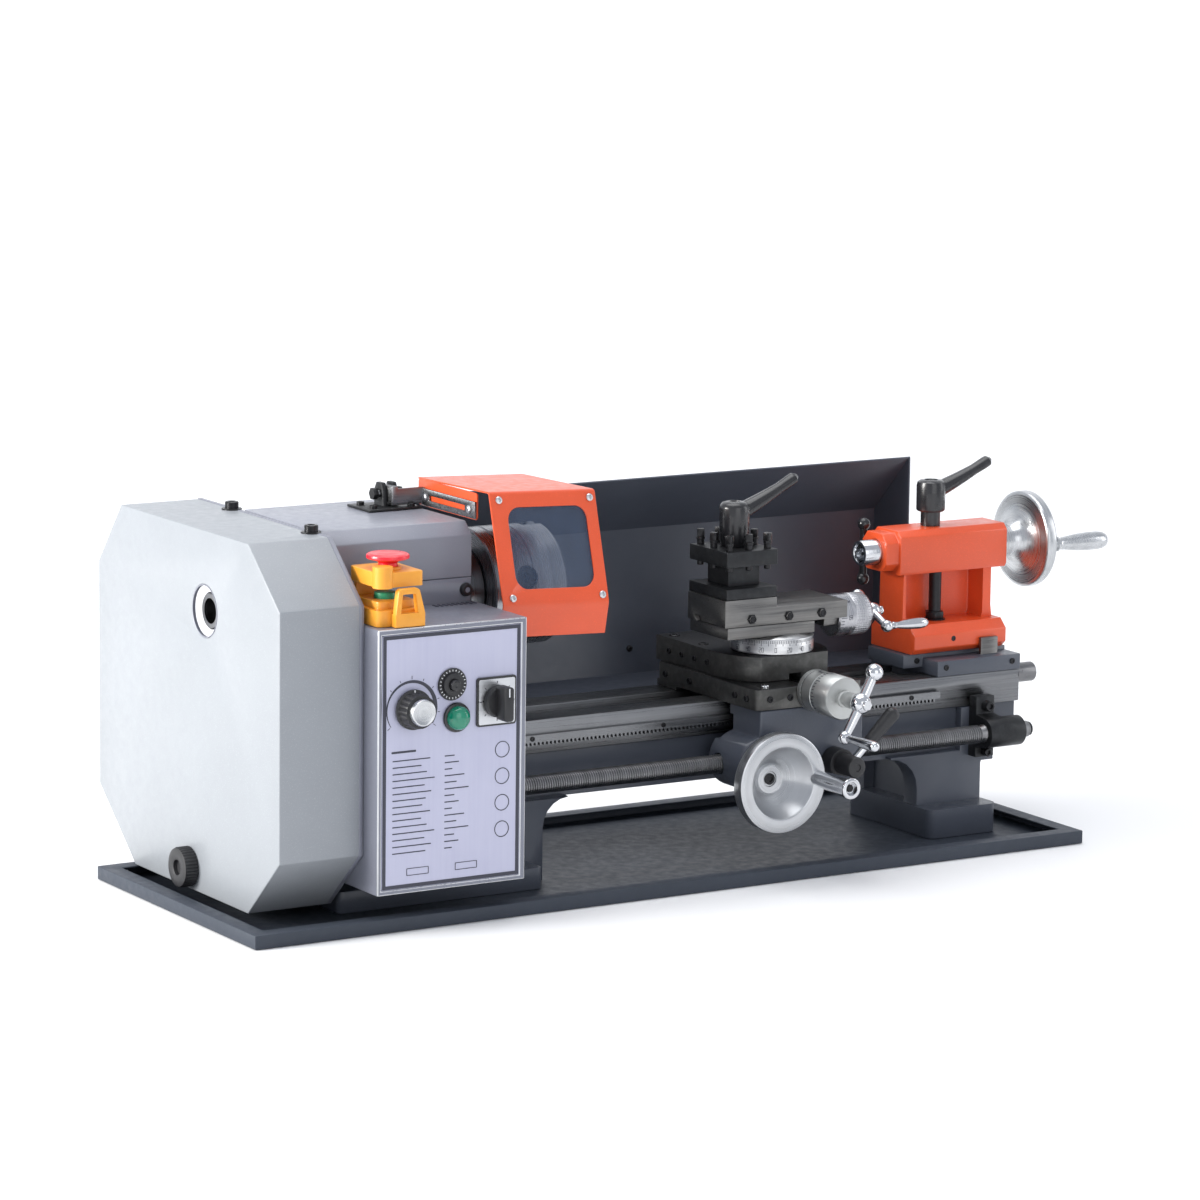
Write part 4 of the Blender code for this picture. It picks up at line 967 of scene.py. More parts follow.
# ================================================================ control box
take("control_box", GREY, 1.0, 3, 35, [
    (EDGE, lambda c, n: c[1] < -147.6 and (c[0] < -292.4 or c[0] > -167.2 or c[2] < 36.7 or c[2] > 239.8))], clamp=False)
BX0, BX1, PZ0, PZ1 = -292.6, -167.0, 36.5, 240.0
PY = -149.6
pan = round_box("panel_plate", PANEL, "y", -292.4, -167.2, 36.7, 239.8, 1.5, PY, PY + 2, 4)
boss = [turned("t", PLATEW, "y", -266, 180, [(PY, 5.0), (-151.8, 5.0)], 32)]
on(merge("panel_plate", [pan] + boss), BASE, "panel_print", "control_panel")
ink = []


def frame_line(mat, x0, x1, z0, z1, w, r, y=PY, h=0.25):
    o = round_box("t", mat, "y", x0, x1, z0, z1, r, y - h, y + 0.1, 8)
    i = round_box("t", mat, "y", x0 + w, x1 - w, z0 + w, z1 - w, max(0.4, r - w), y - h - 1, y + 1, 8)
    return cut(o, i)


ink.append(frame_line(INK, -291.9, -167.7, 37.0, 239.5, 3.0, 0.8))
# scale arc round the speed knob, with ticks
def arc(mat, cx, cz, r0, r1, a0, a1, n=48, y=PY, h=0.22):
    pts = []
    for k in range(n + 1):
        t = math.radians(a0 + (a1 - a0) * k / n)
        w = r1 - (r1 - r0) * (0.15 + 0.85 * (k / n))
        pts.append((cx + r1 * math.cos(t), cz + r1 * math.sin(t)))
    inner = []
    for k in range(n + 1):
        t = math.radians(a0 + (a1 - a0) * k / n)
        w = r1 - (r1 - r0) * (0.12 + 0.88 * (k / n))
        inner.append((cx + w * math.cos(t), cz + w * math.sin(t)))
    return prism("t", mat, "y", pts + inner[::-1], y - h, y + 0.1)


ink.append(arc(INK, -266, 180, 19.0, 23.0, 215, -35))
for k in range(11):
    t = math.radians(215 - 25 * k)
    c, s = math.cos(t), math.sin(t)
    p, q = 23.8, 25.6 if k % 5 else 26.4
    pts = [(-266 + c * p - s * 0.22, 180 + s * p + c * 0.22), (-266 + c * q - s * 0.22, 180 + s * q + c * 0.22),
           (-266 + c * q + s * 0.22, 180 + s * q - c * 0.22), (-266 + c * p + s * 0.22, 180 + s * p - c * 0.22)]
    ink.append(prism("t", INK, "y", pts, PY - 0.22, PY + 0.1))
# blank table ruled with plain lines
for k in range(15):
    z = 139 - k * 5.3
    for x0, x1, w in ((-283, -283 + (34, 26, 31, 38, 29, 35, 30, 27)[k % 8], 0.9), (-236, -236 + (9, 13, 7, 18, 11, 22)[k % 6], 0.9)):
        ink.append(round_box("t", INK, "y", x0, x1, z, z + w, 0.3, PY - 0.15, PY + 0.1, 2))
ink.append(round_box("t", INK, "y", -284, -262, 145.5, 147.2, 0.4, PY - 0.15, PY + 0.1, 2))
for x0, x1 in ((-270, -250), (-226, -206)):
    ink.append(frame_line(INK, x0, x1, 46.5, 52.5, 0.5, 0.5))
for k in range(4):
    z = 140 - k * 21.5
    o = tube("t", INK, "y", -183.5, z, 6.0, 6.7, PY - 0.2, PY + 0.1, 40)
    ink.append(o)
on(merge("panel_marks", ink), BASE, "black_plastic", deg=20)
# breaker ring, button
br = turned("breaker_collar", PLASTIC, "y", -230.1, 196.7,
            [(PY - 0.1, 5), (PY - 0.1, 12.6), (PY - 1.0, 13.0), (PY - 1.6, 12.6), (PY - 1.6, 9.6), (PY - 4.0, 9.0), (PY - 4.4, 8.4), (PY - 4.4, 5)], 72, closed=True)
tk = [br]
for k in range(24):
    t = math.radians(15 * k)
    c, s = math.cos(t), math.sin(t)
    p, q = 10.4, 11.8
    pts = [(-230.1 + c * p - s * 0.3, 196.7 + s * p + c * 0.3), (-230.1 + c * q - s * 0.3, 196.7 + s * q + c * 0.3),
           (-230.1 + c * q + s * 0.3, 196.7 + s * q - c * 0.3), (-230.1 + c * p + s * 0.3, 196.7 + s * p - c * 0.3)]
    tk.append(prism("t", INKL, "y", pts, PY - 1.75, PY - 1.5))
on(merge("breaker_collar", tk), BASE, "black_plastic")
on(turned("breaker_cap", PLASTICG, "y", -230.1, 196.7, [(PY + 2, 4.6), (PY - 6.6, 4.6), (PY - 7.4, 4.2), (PY - 7.9, 3.0), (PY - 7.6, 1.6), (PY - 7.4, 0)], 48), "breaker", "black_plastic", "breaker_button")
# speed knob with fluted skirt and metal cap
kb = turned("knob_skirt", PLASTIC, "y", -266, 180,
            [(-151.9, 15), (-152.2, 16), (-154.0, 16.0), (-154.6, 14.6), (-163.5, 13.8), (-164.9, 13.2), (-165, 11), (-165, 0)], 216, lobes=18, lobe_depth=1.0, lobe_rows=(3, 4))
cap = turned("t", CAPM, "y", -266, 180, [(-164.6, 10.9), (-168.8, 10.7), (-169.6, 10.2), (-169.9, 9.4), (-169.6, 8.6), (-169.6, 0)], 72)
mark = prism("t", INKL, "y", [(-266.5, 191.2), (-265.5, 191.2), (-265.5, 195.6), (-266.5, 195.6)], -154.8, -154.0)
on(merge("knob_skirt", [kb, cap, mark]), "speed_dial", "black_plastic", "speed_knob", deg=30)
# lamp
lb = turned("lamp_bezel", PLASTICG, "y", -226.2, 169.9, [(PY - 0.3, 9.6), (PY - 0.3, 11.6), (PY - 1.4, 12.0), (PY - 2.8, 11.6), (PY - 3.2, 10.2), (PY - 3.2, 9.6)], 72, closed=True)
ll = turned("t", GREEN, "y", -226.2, 169.9, [(PY - 0.5, 9.6), (PY - 4.2, 9.6), (PY - 7.2, 9.2), (PY - 9.3, 7.8), (PY - 10.6, 5.6), (PY - 11.4, 2.8), (PY - 11.6, 0)], 72)
on(merge("lamp_bezel", [lb, ll]), BASE, "green_lens", "pilot_lamp")
# rotary selector: silver plate with black border, ticks, bar handle
sp_ = [round_box("t", PLASTICG, "y", -208.2, -172.1, 160.1, 199.5, 2.4, PY - 1.8, PY - 0.4), round_box("t", PLATEW, "y", -206.6, -173.7, 161.7, 197.9, 1.6, PY - 2.5, PY - 1.7)]
for k in range(8):
    t = math.radians(45 * k)
    c, s = math.cos(t), math.sin(t)
    p, q = 14.2, 16.0
    pts = [(-190 + c * p - s * 0.3, 180 + s * p + c * 0.3), (-190 + c * q - s * 0.3, 180 + s * q + c * 0.3),
           (-190 + c * q + s * 0.3, 180 + s * q - c * 0.3), (-190 + c * p + s * 0.3, 180 + s * p - c * 0.3)]
    sp_.append(prism("t", INK, "y", pts, PY - 2.7, PY - 2.4))
on(merge("selector_face", sp_), BASE, "turned_aluminium", "selector_plate")
hb = turned("selector_grip", PLASTIC, "y", -190, 180, [(PY - 3.0, 12.6), (PY - 3.6, 13.0), (PY - 7.4, 12.6), (PY - 8.6, 11.4), (PY - 8.6, 0)], 72)
bar = round_box("t", PLASTIC, "y", -194.3, -185.7, 166.2, 193.8, 2.6, PY - 21.8, PY - 7.8, 6)
bevel(bar, 0.8, 2, 40)
tip = round_box("t", INKL, "y", -190.5, -189.5, 186, 193.0, 0.3, PY - 22.0, PY - 21.6, 2)
on(merge("selector_grip", [hb, bar, tip]), "selector", "black_plastic", "selector_handle")

# ================================================================ emergency stop
take("estop_base", YELLOW, 0.9, 2, 35, clamp=False)
take("estop_lid", YELLOW, 0.9, 3, 35, clamp=False)
take("start_button", GREENB, 0.8, 2, 35, clamp=False)
ms = turned("stop_cap", RED, "z", -270, -117, [(276.6, 0), (276.6, 7.6), (291.9, 7.6), (293.4, 9.2), (294.6, 13.5), (295.2, 16.2), (295.9, 17.1), (297.2, 17.2), (298.4, 16.8), (299.3, 15.4), (299.7, 12.6), (299.5, 10.8), (299.9, 9.0), (300.3, 6.0), (300.3, 0)], 96)
on(ms, "stop_head", "red_plastic", "estop_mushroom")
tr = [pan_screw("s", BLACKS, "z", x, y, 258.2, 1, 2.0, 0.9) for x, y in ((-286, -100), (-257, -100))]
on(merge("stop_screws", tr), BASE, "black_oxide")

# ================================================================ saddle, apron and their controls
take("saddle", CASTSIDE, 0.7, 2, 35, [(STEEL_DKY, lambda c, n: n[2] > 0.9 and c[2] > 154)], clamp=False)
tr = [socket_screw("s", BLACKS, "x", y, z, 87.0, -1, 2.9, 1.8) for y, z in ((-90, 146), (-72, 146), (-2, 146), (36, 146))]
tr += [socket_screw("s", BLACKS, "y", x, 146.5, -105.0, -1, 2.8, 1.6) for x in (100, 120, 172, 184)]
tr += [socket_screw("s", BLACKS, "z", x, y, 155.0, 1, 3.2, 0.12) for x, y in ((185, -94), (97, -86))]
on(merge("saddle_screws", tr), "carriage", "black_oxide")
oil = turned("oil_cup", CAPM, "z", 98, -100, [(155.0, 0), (155.0, 3.5), (157.4, 3.5), (158.2, 3.0), (158.2, 1.6), (157.6, 1.2), (157.6, 0)], 36)
on(oil, "carriage", "black_oxide")
take("apron", SLATE, 1.6, 3, 35, clamp=False)
tr = [socket_screw("s", BLACKS, "y", x, z, -105.0, -1, 3.4, 1.6) for x, z in ((186, 129),)]
on(merge("apron_screws", tr), "carriage", "black_oxide")

wheel = turned("carriage_wheel_disc", ALU_W, "y", 95, 81.5,
               [(-105.4, 12.4), (-105.8, 13), (-107.2, 14.6), (-108.2, 16.2), (-123.0, 31.6), (-123.5, 33), (-123.5, 40.6), (-124.2, 41.7), (-125.0, 42),
                (-133.6, 42), (-134.6, 41.7), (-135.0, 41.0), (-135.0, 31.0), (-134.8, 30.4), (-134.2, 29.9), (-133.0, 29.2), (-114.0, 14.6), (-113.0, 13.4), (-112.8, 12.9), (-113.2, 12.5), (-114.4, 12.3), (-115.0, 11.8), (-115.0, 6.6), (-114.6, 6.2), (-113.8, 6.0), (-113.8, 0)], 144)
hub = turned("t", BLACKS, "y", 95, 81.5, [(-113.6, 4.9), (-114.8, 4.9), (-115.0, 4.6), (-115.0, 2.6), (-113.9, 2.4), (-113.9, 0)], 36)
grip = turned("t", CHROMEY, "y", 130, 82.5,
              [(-131, 6.4), (-136.2, 6.6), (-150, 7.5), (-168, 8.5), (-181.0, 8.9), (-183.0, 8.9), (-183.8, 8.4), (-184.0, 7.8), (-184.0, 5.8), (-183.6, 5.4), (-179.0, 5.2), (-179.0, 0)], 72)
pin = hexagon("t", BLACKS, "y", 130, 82.5, 3.4, -181.4, -178.8)
mark = [pin]
on(merge("carriage_wheel_disc", [wheel, hub, grip] + mark), "carriage_wheel", "turned_aluminium", "apron_handwheel", deg=40)

lv = turned("t", PLASTIC, "y", 164, 89, [(-105.4, 11.4), (-106.0, 12), (-119.4, 12), (-120, 11.4), (-120, 9), (-139.8, 9), (-141.4, 8.2), (-142, 6.6), (-142, 3.4), (-141.2, 3.0), (-141.2, 0)], 64)
arm_ = sweep("t", CHROMEY, [(166, -132, 93), (181, -134, 109)], [3.5, 3.5], 32)
P, R = [], []
a, b = Vector((179.5, -134, 107.4)), Vector((206, -136, 134))
d = (b - a).normalized()
Lg = (b - a).length
for k in range(25):
    f = k / 24
    r = 5.4 + 1.2 * f
    if f < 0.08:
        r *= math.sqrt(max(0.02, 1 - (1 - f / 0.08) ** 2)) * 0.4 + 0.6
    if f > 0.86:
        r *= math.sqrt(max(0.0, 1 - ((f - 0.86) / 0.14) ** 2)) * 0.92 + 0.08
    P.append(tuple(a + d * Lg * f))
    R.append(r)
gripb = sweep("t", PLASTIC, P, R, 40)
on(merge("nut_lever_bar", [lv, arm_, gripb]), "nut_lever", "black_plastic", "half_nut_lever", deg=40)


def ticks(cu, cv, axis, r, a0, a1, long_every, n, mat, inset=0.12, w=0.28, start=0.0, skip=None):
    """Raised graduation lines round a barrel; a0 is the line's fixed end."""
    out = []
    for k in range(n):
        t = 2 * math.pi * k / n + start
        if skip and skip(math.degrees(t) % 360):
            continue
        end = a1 if k % long_every == 0 else a0 + (a1 - a0) * 0.58
        c, s = math.cos(t), math.sin(t)
        tv, verts = (-s, c), []
        for aa in (a0, end):
            for rr in (r - 0.25, r + inset):
                for sd in (-w, w):
                    verts.append(put(axis, aa, cu + c * rr + tv[0] * sd, cv + s * rr + tv[1] * sd))
        faces = [(0, 1, 3, 2), (4, 6, 7, 5), (0, 4, 5, 1), (2, 3, 7, 6), (0, 2, 6, 4), (1, 5, 7, 3)]
        out.append(finish_mesh("t", verts, faces, mat))
    return out


# ================================================================ cross feed
fx, fz = 143.6, 151.0
house = turned("feed_housing", DIAL_C, "y", fx, fz, [(-105.4, 12), (-105.4, 16.9), (-106.0, 17.55), (-110.6, 17.55), (-111.0, 17.2), (-111.6, 17.2), (-112.0, 17.55), (-124.2, 17.55), (-124.9, 16.8), (-125.0, 12.6), (-125.0, 4.6), (-106, 4.6)], 96, closed=True)
zero = cyl("t", INK, "y", fx - 3.0, fz + 17.2, 0.3, -124.6, -118, 12)
zero = merge("t", [zero, cyl("t", INK, "z", fx - 1.0, -115.5, 1.7, fz + 15.0, fz + 17.6, 20)])
on(merge("feed_housing", [house, zero]), "carriage", "black_oxide")
dial = turned("t", DIAL_C, "y", fx, fz, [(-125.3, 4.2), (-125.3, 17.2), (-126.1, 18.0), (-148.8, 18.0), (-149.8, 17.2), (-150.2, 7.2), (-151.4, 6.9), (-152.0, 5.4), (-156.0, 5.4), (-156.6, 6.6), (-167, 6.4), (-167, 0)], 160)
shaft = turned("t", CHROME, "y", fx, fz, [(20, 0), (20, 3.4), (19.4, 4.0), (-126, 4.0), (-126, 0)], 36)
hubc = ball("t", CHROME, (fx, -174, fz), 8.8, 48, 24)
UB, LB = (fx + 13, -174, fz + 25), (fx - 15, -174, fz - 27)
bars = [sweep("t", CHROME, [LB, (fx, -174, fz), UB], [3.5, 4.6, 4.0], 36), ball("t", CHROME, UB, 7.3, 48, 24), ball("t", CHROME, LB, 5.7, 40, 20)]
grip = turned("t", CHROME, "y", LB[0], LB[2], [(-174, 2.6), (-179.6, 2.7), (-180.6, 3.5), (-182.0, 3.5), (-184, 3.2), (-192, 3.8), (-202, 4.4), (-210, 4.5), (-216.5, 4.2), (-219.0, 3.4), (-219.8, 2.2), (-220, 0)], 48)
nut = hexagon("t", CHROME, "y", fx, fz, 4.6, -184.6, -181.8)
tk = ticks(fx, fz, "y", 18.0, -126.9, -132.6, 5, 40, INK)
on(merge("feed_crank_set", [dial, shaft, hubc, grip, nut] + bars + tk), "feed_crank", "chrome", "cross_feed_crank", deg=40)

# ================================================================ cross slide and compound rest
take("cross_slide", CASTSIDE, 0.6, 2, 35, [(STEEL_DKY, lambda c, n: n[2] > 0.9)], clamp=False)
tr = [socket_screw("s", BLACKS, "x", y, 165.5, 90.0, -1, 2.5, 1.3) for y in (-24, -4, 16, 36)]
tr += [socket_screw("s", BLACKS, "z", x, y, 176.5, 1, 4.6, 1.0) for x, y in ((100, 44), (180, 44), (100, -2), (180, -2))]
tr += [turned("s", CAPM, "z", x, y, [(176.5, 0), (176.5, 2.4), (177.1, 2.2), (177.1, 0)], 24) for x, y in ((140, 40),)]
on(merge("cross_slide_screws", tr), "cross", "black_oxide")
sw = turned("swivel_ring", SWIV, "z", 140, -46, [(176.8, 0), (176.8, 34.2), (177.6, 35.0), (189.4, 35.0), (190.2, 34.4), (193.4, 29.6), (193.4, 0)], 128)
cb = frame["nodes"]["compound_swivel"]
basev = box("t", STEEL_DK, 76.7, 163.5, -75, -17, 193.2, 203)
bevel(basev, 0.5, 2)
dove = prism("t", STEEL_DK, "x", [(-60, 202.6), (-32, 202.6), (-28, 208), (-64, 208)], 78, 162)
tk = []
for k in range(-36, 37):
    t = math.radians(-118 + k * 2.5)
    long_ = k % 4 == 0
    c, s = math.cos(t), math.sin(t)
    z0, z1 = (184.6, 189.2) if long_ else (186.6, 189.2)
    verts = []
    for zz in (z0, z1):
        for rr in (34.8, 35.1):
            for sd in (-0.22, 0.22):
                verts.append((140 + c * rr - s * sd, -46 + s * rr + c * sd, zz))
    tk.append(finish_mesh("t", verts, [(0, 1, 3, 2), (4, 6, 7, 5), (0, 4, 5, 1), (2, 3, 7, 6), (0, 2, 6, 4), (1, 5, 7, 3)], INK))
DIG = {"0": "abcdef", "1": "bc", "2": "abged", "3": "abgcd", "4": "fgbc", "5": "afgcd", "6": "afgedc", "7": "abc", "8": "abcdefg", "9": "abcdfg"}
SEG = {"a": ((0, 2), (1, 2)), "b": ((1, 1), (1, 2)), "c": ((1, 0), (1, 1)), "d": ((0, 0), (1, 0)), "e": ((0, 0), (0, 1)), "f": ((0, 1), (0, 2)), "g": ((0, 1), (1, 1))}


def digits(text, place, h, w, t, mat):
    """Plain stroke numbers. place(u, v, d) gives a point for across, up and out, in mm."""
    out, total = [], len(text) * w * 1.5 - w * 0.5
    for i, ch in enumerate(text):
        if ch not in DIG:
            continue
        u0 = -total / 2 + i * w * 1.5
        for sgm in DIG[ch]:
            (x0, y0), (x1, y1) = SEG[sgm]
            ax, ay, bx, by = u0 + x0 * w, y0 * h / 2, u0 + x1 * w, y1 * h / 2
            if ax == bx:
                rect = [(ax - t, ay - t), (ax + t, ay - t), (ax + t, by + t), (ax - t, by + t)]
            else:
                rect = [(ax - t, ay - t), (bx + t, ay - t), (bx + t, ay + t), (ax - t, ay + t)]
            verts = [place(u, v, 0.0) for u, v in rect] + [place(u, v, 1.0) for u, v in rect]
            out.append(finish_mesh("t", verts, [(0, 3, 2, 1), (4, 5, 6, 7), (0, 1, 5, 4), (1, 2, 6, 5), (2, 3, 7, 6), (3, 0, 4, 7)], mat))
    return out


for k, txt in ((-24, "60"), (-16, "40"), (-8, "20"), (0, "0"), (8, "20"), (16, "40"), (24, "60")):
    t0 = math.radians(-118 + k * 2.5)
    tk += digits(txt, lambda u, v, d, t0=t0: (140 + math.cos(t0 + u / 35.0) * (34.85 + 0.25 * d), -46 + math.sin(t0 + u / 35.0) * (34.85 + 0.25 * d), 179.4 + v), 3.6, 1.5, 0.2, INK)
on(merge("swivel_ring", [sw, basev, dove] + tk), "rest_swivel", "ground_steel", "compound_swivel", deg=40)

take("top_slide", STEEL_DK, 0.5, 2, 35, clamp=False)
tr = [socket_screw("s", BLACKS, "y", x, 209.5, -77.9, -1, 2.9, 0.8) for x in (100, 137, 170)]
tr += [hexagon("s", BLACKS, "y", x, 209.5, 4.4, -76.9, -75.1) for x in (100, 137, 170)]
on(merge("gib_screws", tr), "top", "black_oxide")
brk = turned("top_bearing", DIAL_T, "x", -46, 200, [(183, 0), (183, 14.7), (196.0, 14.7), (196.6, 14.0), (196.6, 5.2), (184, 5.2)], 72)
bpy.data.objects.remove(brk, do_unlink=True)

td = turned("t", DIAL_T, "x", -46, 200, [(186, 0), (186, 4.3), (197, 4.3), (197, 16.6), (198.2, 18.0), (213.0, 18.0), (213.6, 17.4), (214.6, 17.4), (215.2, 18.0), (228.8, 18.0), (230.6, 17.0), (234, 13.2), (234.4, 6.0), (242, 5.6), (242, 0)], 160,
            lobes=60, lobe_depth=0.7, lobe_rows=(8, 9))
tk = ticks(-46, 200, "x", 18.0, 198.6, 204.4, 5, 40, INK)
for k in range(8):
    t0 = 2 * math.pi * k / 8
    tk += digits(str(k * 5), lambda u, v, d, t0=t0: (206.4 + v, -46 + math.cos(t0 - u / 18.0) * (17.85 + 0.27 * d), 200 + math.sin(t0 - u / 18.0) * (17.85 + 0.27 * d)), 3.4, 1.3, 0.22, INK)
U2, L2 = (242, -23.5, 209.5), (242, -68.4, 190.8)
cr = [ball("t", CHROME, (242, -46, 200.2), 7.6, 48, 24), sweep("t", CHROME, [L2, (242, -46, 200.1), U2], [3.1, 4.2, 3.4], 36),
      ball("t", CHROME, U2, 6.5, 40, 20), ball("t", CHROME, L2, 5.3, 40, 20),
      turned("t", CHROME, "x", L2[1], L2[2], [(242, 2.4), (247.6, 2.5), (248.4, 3.2), (249.8, 3.2), (251.6, 2.8), (257, 3.6), (266, 4.7), (274, 5.0), (279, 4.6), (282.4, 3.4), (283.9, 1.4), (284, 0)], 48),
      hexagon("t", CHROME, "x", -46, 200.2, 4.4, 248.6, 251.4)]
on(merge("top_crank_set", [td] + tk + cr), "top_crank", "chrome", "top_slide_crank", deg=40)

# ================================================================ tool post
RZ = 226.7
tp = [bevel(round_box("t", BLACK, "z", 75.1, 125.4, -74.9, -16.6, 1.0, RZ, 235.7, 3), 0.5, 2),
      bevel(box("t", BLACK, 84.8, 115.8, -62, -30, 235.5, 254.2), 0.4, 1),
      bevel(round_box("t", BLACK, "z", 75.1, 125.4, -74.9, -16.6, 1.0, 253.9, 266.8, 3), 0.5, 2)]
for sx, sy in ((-19, -22), (0, -23), (19, -22), (20, 0), (19, 22), (0, 23), (-19, 22), (-20, 0)):
    px, py_ = 100.3 + sx, -46 + sy
    tp.append(turned("t", BLACKS, "z", px, py_, [(266.6, 0), (266.6, 3.0), (271, 3.0), (271.4, 3.6), (273.4, 3.6), (273.8, 2.9), (273.8, 0)], 28))
    hd = box("t", BLACKS, px - 2.9, px + 2.9, py_ - 2.9, py_ + 2.9, 273.4, 280.0)
    a = math.radians((sx * 7 + sy * 13) % 90)
    c, s = math.cos(a), math.sin(a)
    for v in hd.data.vertices:
        x, y = v.co.x - px * MM, v.co.y - py_ * MM
        v.co.x, v.co.y = px * MM + x * c - y * s, py_ * MM + x * s + y * c
    tp.append(bevel(hd, 0.5, 2))
    tp.append(cyl("t", BLACKS, "z", px, py_, 2.8, 249.5, 254.5, 20, 0.5))
on(merge("tool_post_block", tp), "turret", "black_oxide", "tool_post")
LV = [turned("t", PLASTICG, "z", 100.3, -46, [(267.1, 0), (267.1, 11.0), (267.6, 11.4), (271.2, 11.8), (272.0, 12.4), (299.0, 12.8), (301.6, 12.2), (303.6, 10.4), (304.6, 7.0), (304.8, 4.4), (303.6, 4.0), (303.6, 0)], 180, lobes=0)]
P, R = [], []
a, b = Vector((103, -46, 294)), Vector((162, -46, 322))
for k in range(21):
    f = k / 20
    p = a.lerp(b, f)
    p.z += 1.8 * math.sin(math.pi * f) * -0.6
    r = 7.6 - 3.0 * min(1, f * 1.4) if f < 0.7 else 4.6 + 0.3 * math.sin((f - 0.7) / 0.3 * math.pi * 0.5)
    if f > 0.93:
        r *= math.sqrt(max(0.05, 1 - ((f - 0.93) / 0.075) ** 2))
    P.append(tuple(p))
    R.append(r)
LV.append(sweep("t", PLASTICG, P, R, 36, 1.15))
on(merge("post_lever_body", LV), "turret_lever", "black_oxide", "tool_post_lever", deg=40)

# ================================================================ tailstock
take("tailstock_base", SLATE, 0.8, 2, 35, [(STEEL_DK, lambda c, n: 361.3 < c[0] < 379.8 and c[1] < -36.1 and c[2] > 151.2)], clamp=False)
take("tailstock_body", ORANGE, 1.0, 3, 35, clamp=False)
q = turned("quill_tube", CHROME, "x", 0, S2, [(372, 8.0), (372, 10.6), (371.4, 11), (260.0, 11), (259.0, 10.5), (258.8, 9.9), (258.8, 8.2), (262, 7.0), (330, 6.0), (330, 8.0)], 96, closed=True)
on(q, "tail_quill", "chrome", "quill", deg=30)
tr = []
for k in range(9):
    tr.append(round_box("t", INK, "x", -0.28, 0.28, S2 + 10.9, S2 + 11.12, 0.05, 262.4 + k * 0.0, 262.7, 2))
for o in tr:
    bpy.data.objects.remove(o, do_unlink=True)
cr = turned("clamp_rod_body", BLACKS, "z", 334, -8, [(179.9, 5.0), (180.3, 5.4), (222.0, 5.4), (222.2, 5.0)], 48)
nt_ = [cr, hexagon("t", BLACKS, "z", 334, -8, 8.6, 180.0, 187.0), turned("t", BLACKS, "z", 334, -8, [(179.9, 0), (179.9, 9.4), (180.6, 9.4), (180.6, 0)], 40)]
on(merge("clamp_rod_body", nt_), "tailstock", "black_oxide", "tailstock_clamp_rod")
LV = [turned("t", PLASTICG, "z", 333, 0, [(261.3, 0), (261.3, 8.5), (273.4, 8.5), (273.8, 11.2), (274.6, 12.2), (275.6, 12.5), (296.0, 12.6), (299.2, 11.8), (300.6, 9.6), (301.0, 6.0), (300.2, 5.4), (300.2, 0)], 96)]
P, R = [], []
a, b = Vector((337, 0, 290.5)), Vector((395, 0, 315))
for k in range(21):
    f = k / 20
    p = a.lerp(b, f)
    p.z += -1.0 * math.sin(math.pi * f)
    r = 7.2 - 2.6 * min(1, f * 1.4) if f < 0.7 else 4.6 + 0.3 * math.sin((f - 0.7) / 0.3 * math.pi * 0.5)
    if f > 0.93:
        r *= math.sqrt(max(0.05, 1 - ((f - 0.93) / 0.075) ** 2))
    P.append(tuple(p))
    R.append(r)
LV.append(sweep("t", PLASTICG, P, R, 36, 1.15))
on(merge("tail_clamp_body", LV), "tail_clamp", "black_oxide", "tailstock_clamp_lever", deg=40)
QL = [turned("t", CAPM, "y", 282, 240, [(19.3, 0), (19.3, 3.5), (24, 3.5), (24, 5.6), (24.5, 6), (29.6, 6), (30, 5.6), (30, 0)], 40),
      sweep("t", BLACKS, [(282, 27, 214), (282, 27, 262)], [3.2, 3.2], 28), ball("t", PLASTICG, (282, 27, 214), 5.5, 36, 18), ball("t", PLASTICG, (282, 27, 262), 5.5, 36, 18)]
on(merge("quill_lock_body", QL), "tail_lock", "black_oxide", "quill_lock_lever", deg=40)
tw = turned("tail_wheel_disc", ALU_T, "x", 0, S2,
            [(352, 0), (352, 5.4), (352.4, 5.8), (400.8, 5.8), (400.8, 12.4), (401.4, 13), (413.6, 13), (418, 14.2), (424, 18.6), (428.2, 27), (429.6, 33), (429.6, 38.6), (430.0, 40.8), (431.2, 41.9), (432.4, 42),
             (437.6, 42), (438.9, 41.6), (439.8, 40.4), (440, 38.8), (440, 34.2), (439.6, 32.6), (438.2, 31.0), (436.2, 27), (434.8, 20), (434.6, 15.0), (435.6, 12.6), (437.0, 11.6), (443.4, 11.2), (444.6, 10.4), (445, 9.2), (445, 4.4), (444.2, 4.0), (444.2, 0)], 128)
th_ = turned("t", ALU_T, "x", -34, S2 - 0.7, [(437, 4.4), (442, 4.8), (443.2, 6.4), (444.4, 6.6), (445.6, 5.6), (448, 5.2), (456, 6.2), (466, 7.4), (478, 8.0), (487, 7.9), (492.4, 7.2), (495.6, 5.8), (496.9, 3.6), (496.4, 3.0), (495.6, 2.4), (495.6, 0)], 64)
on(merge("tail_wheel_disc", [tw, th_]), "tail_wheel", "turned_aluminium", "tailstock_handwheel", deg=40)
tr = [socket_screw("s", BLACKS, "y", 335, 158 + 9, -36.0, -1, 2.4, 0.3), socket_screw("s", BLACKS, "z", 382, -12, 179.6, 1, 2.6, 1.0),
      socket_screw("s", BLACKS, "y", 303, 148.5, -27.0, -1, 2.6, 1.0), socket_screw("s", BLACKS, "y", 318, 145, -50.0, -1, 2.6, 1.0), socket_screw("s", BLACKS, "y", 388, 145, -50.0, -1, 2.6, 1.0)]
on(merge("tailstock_screws", tr), "tailstock", "black_oxide")

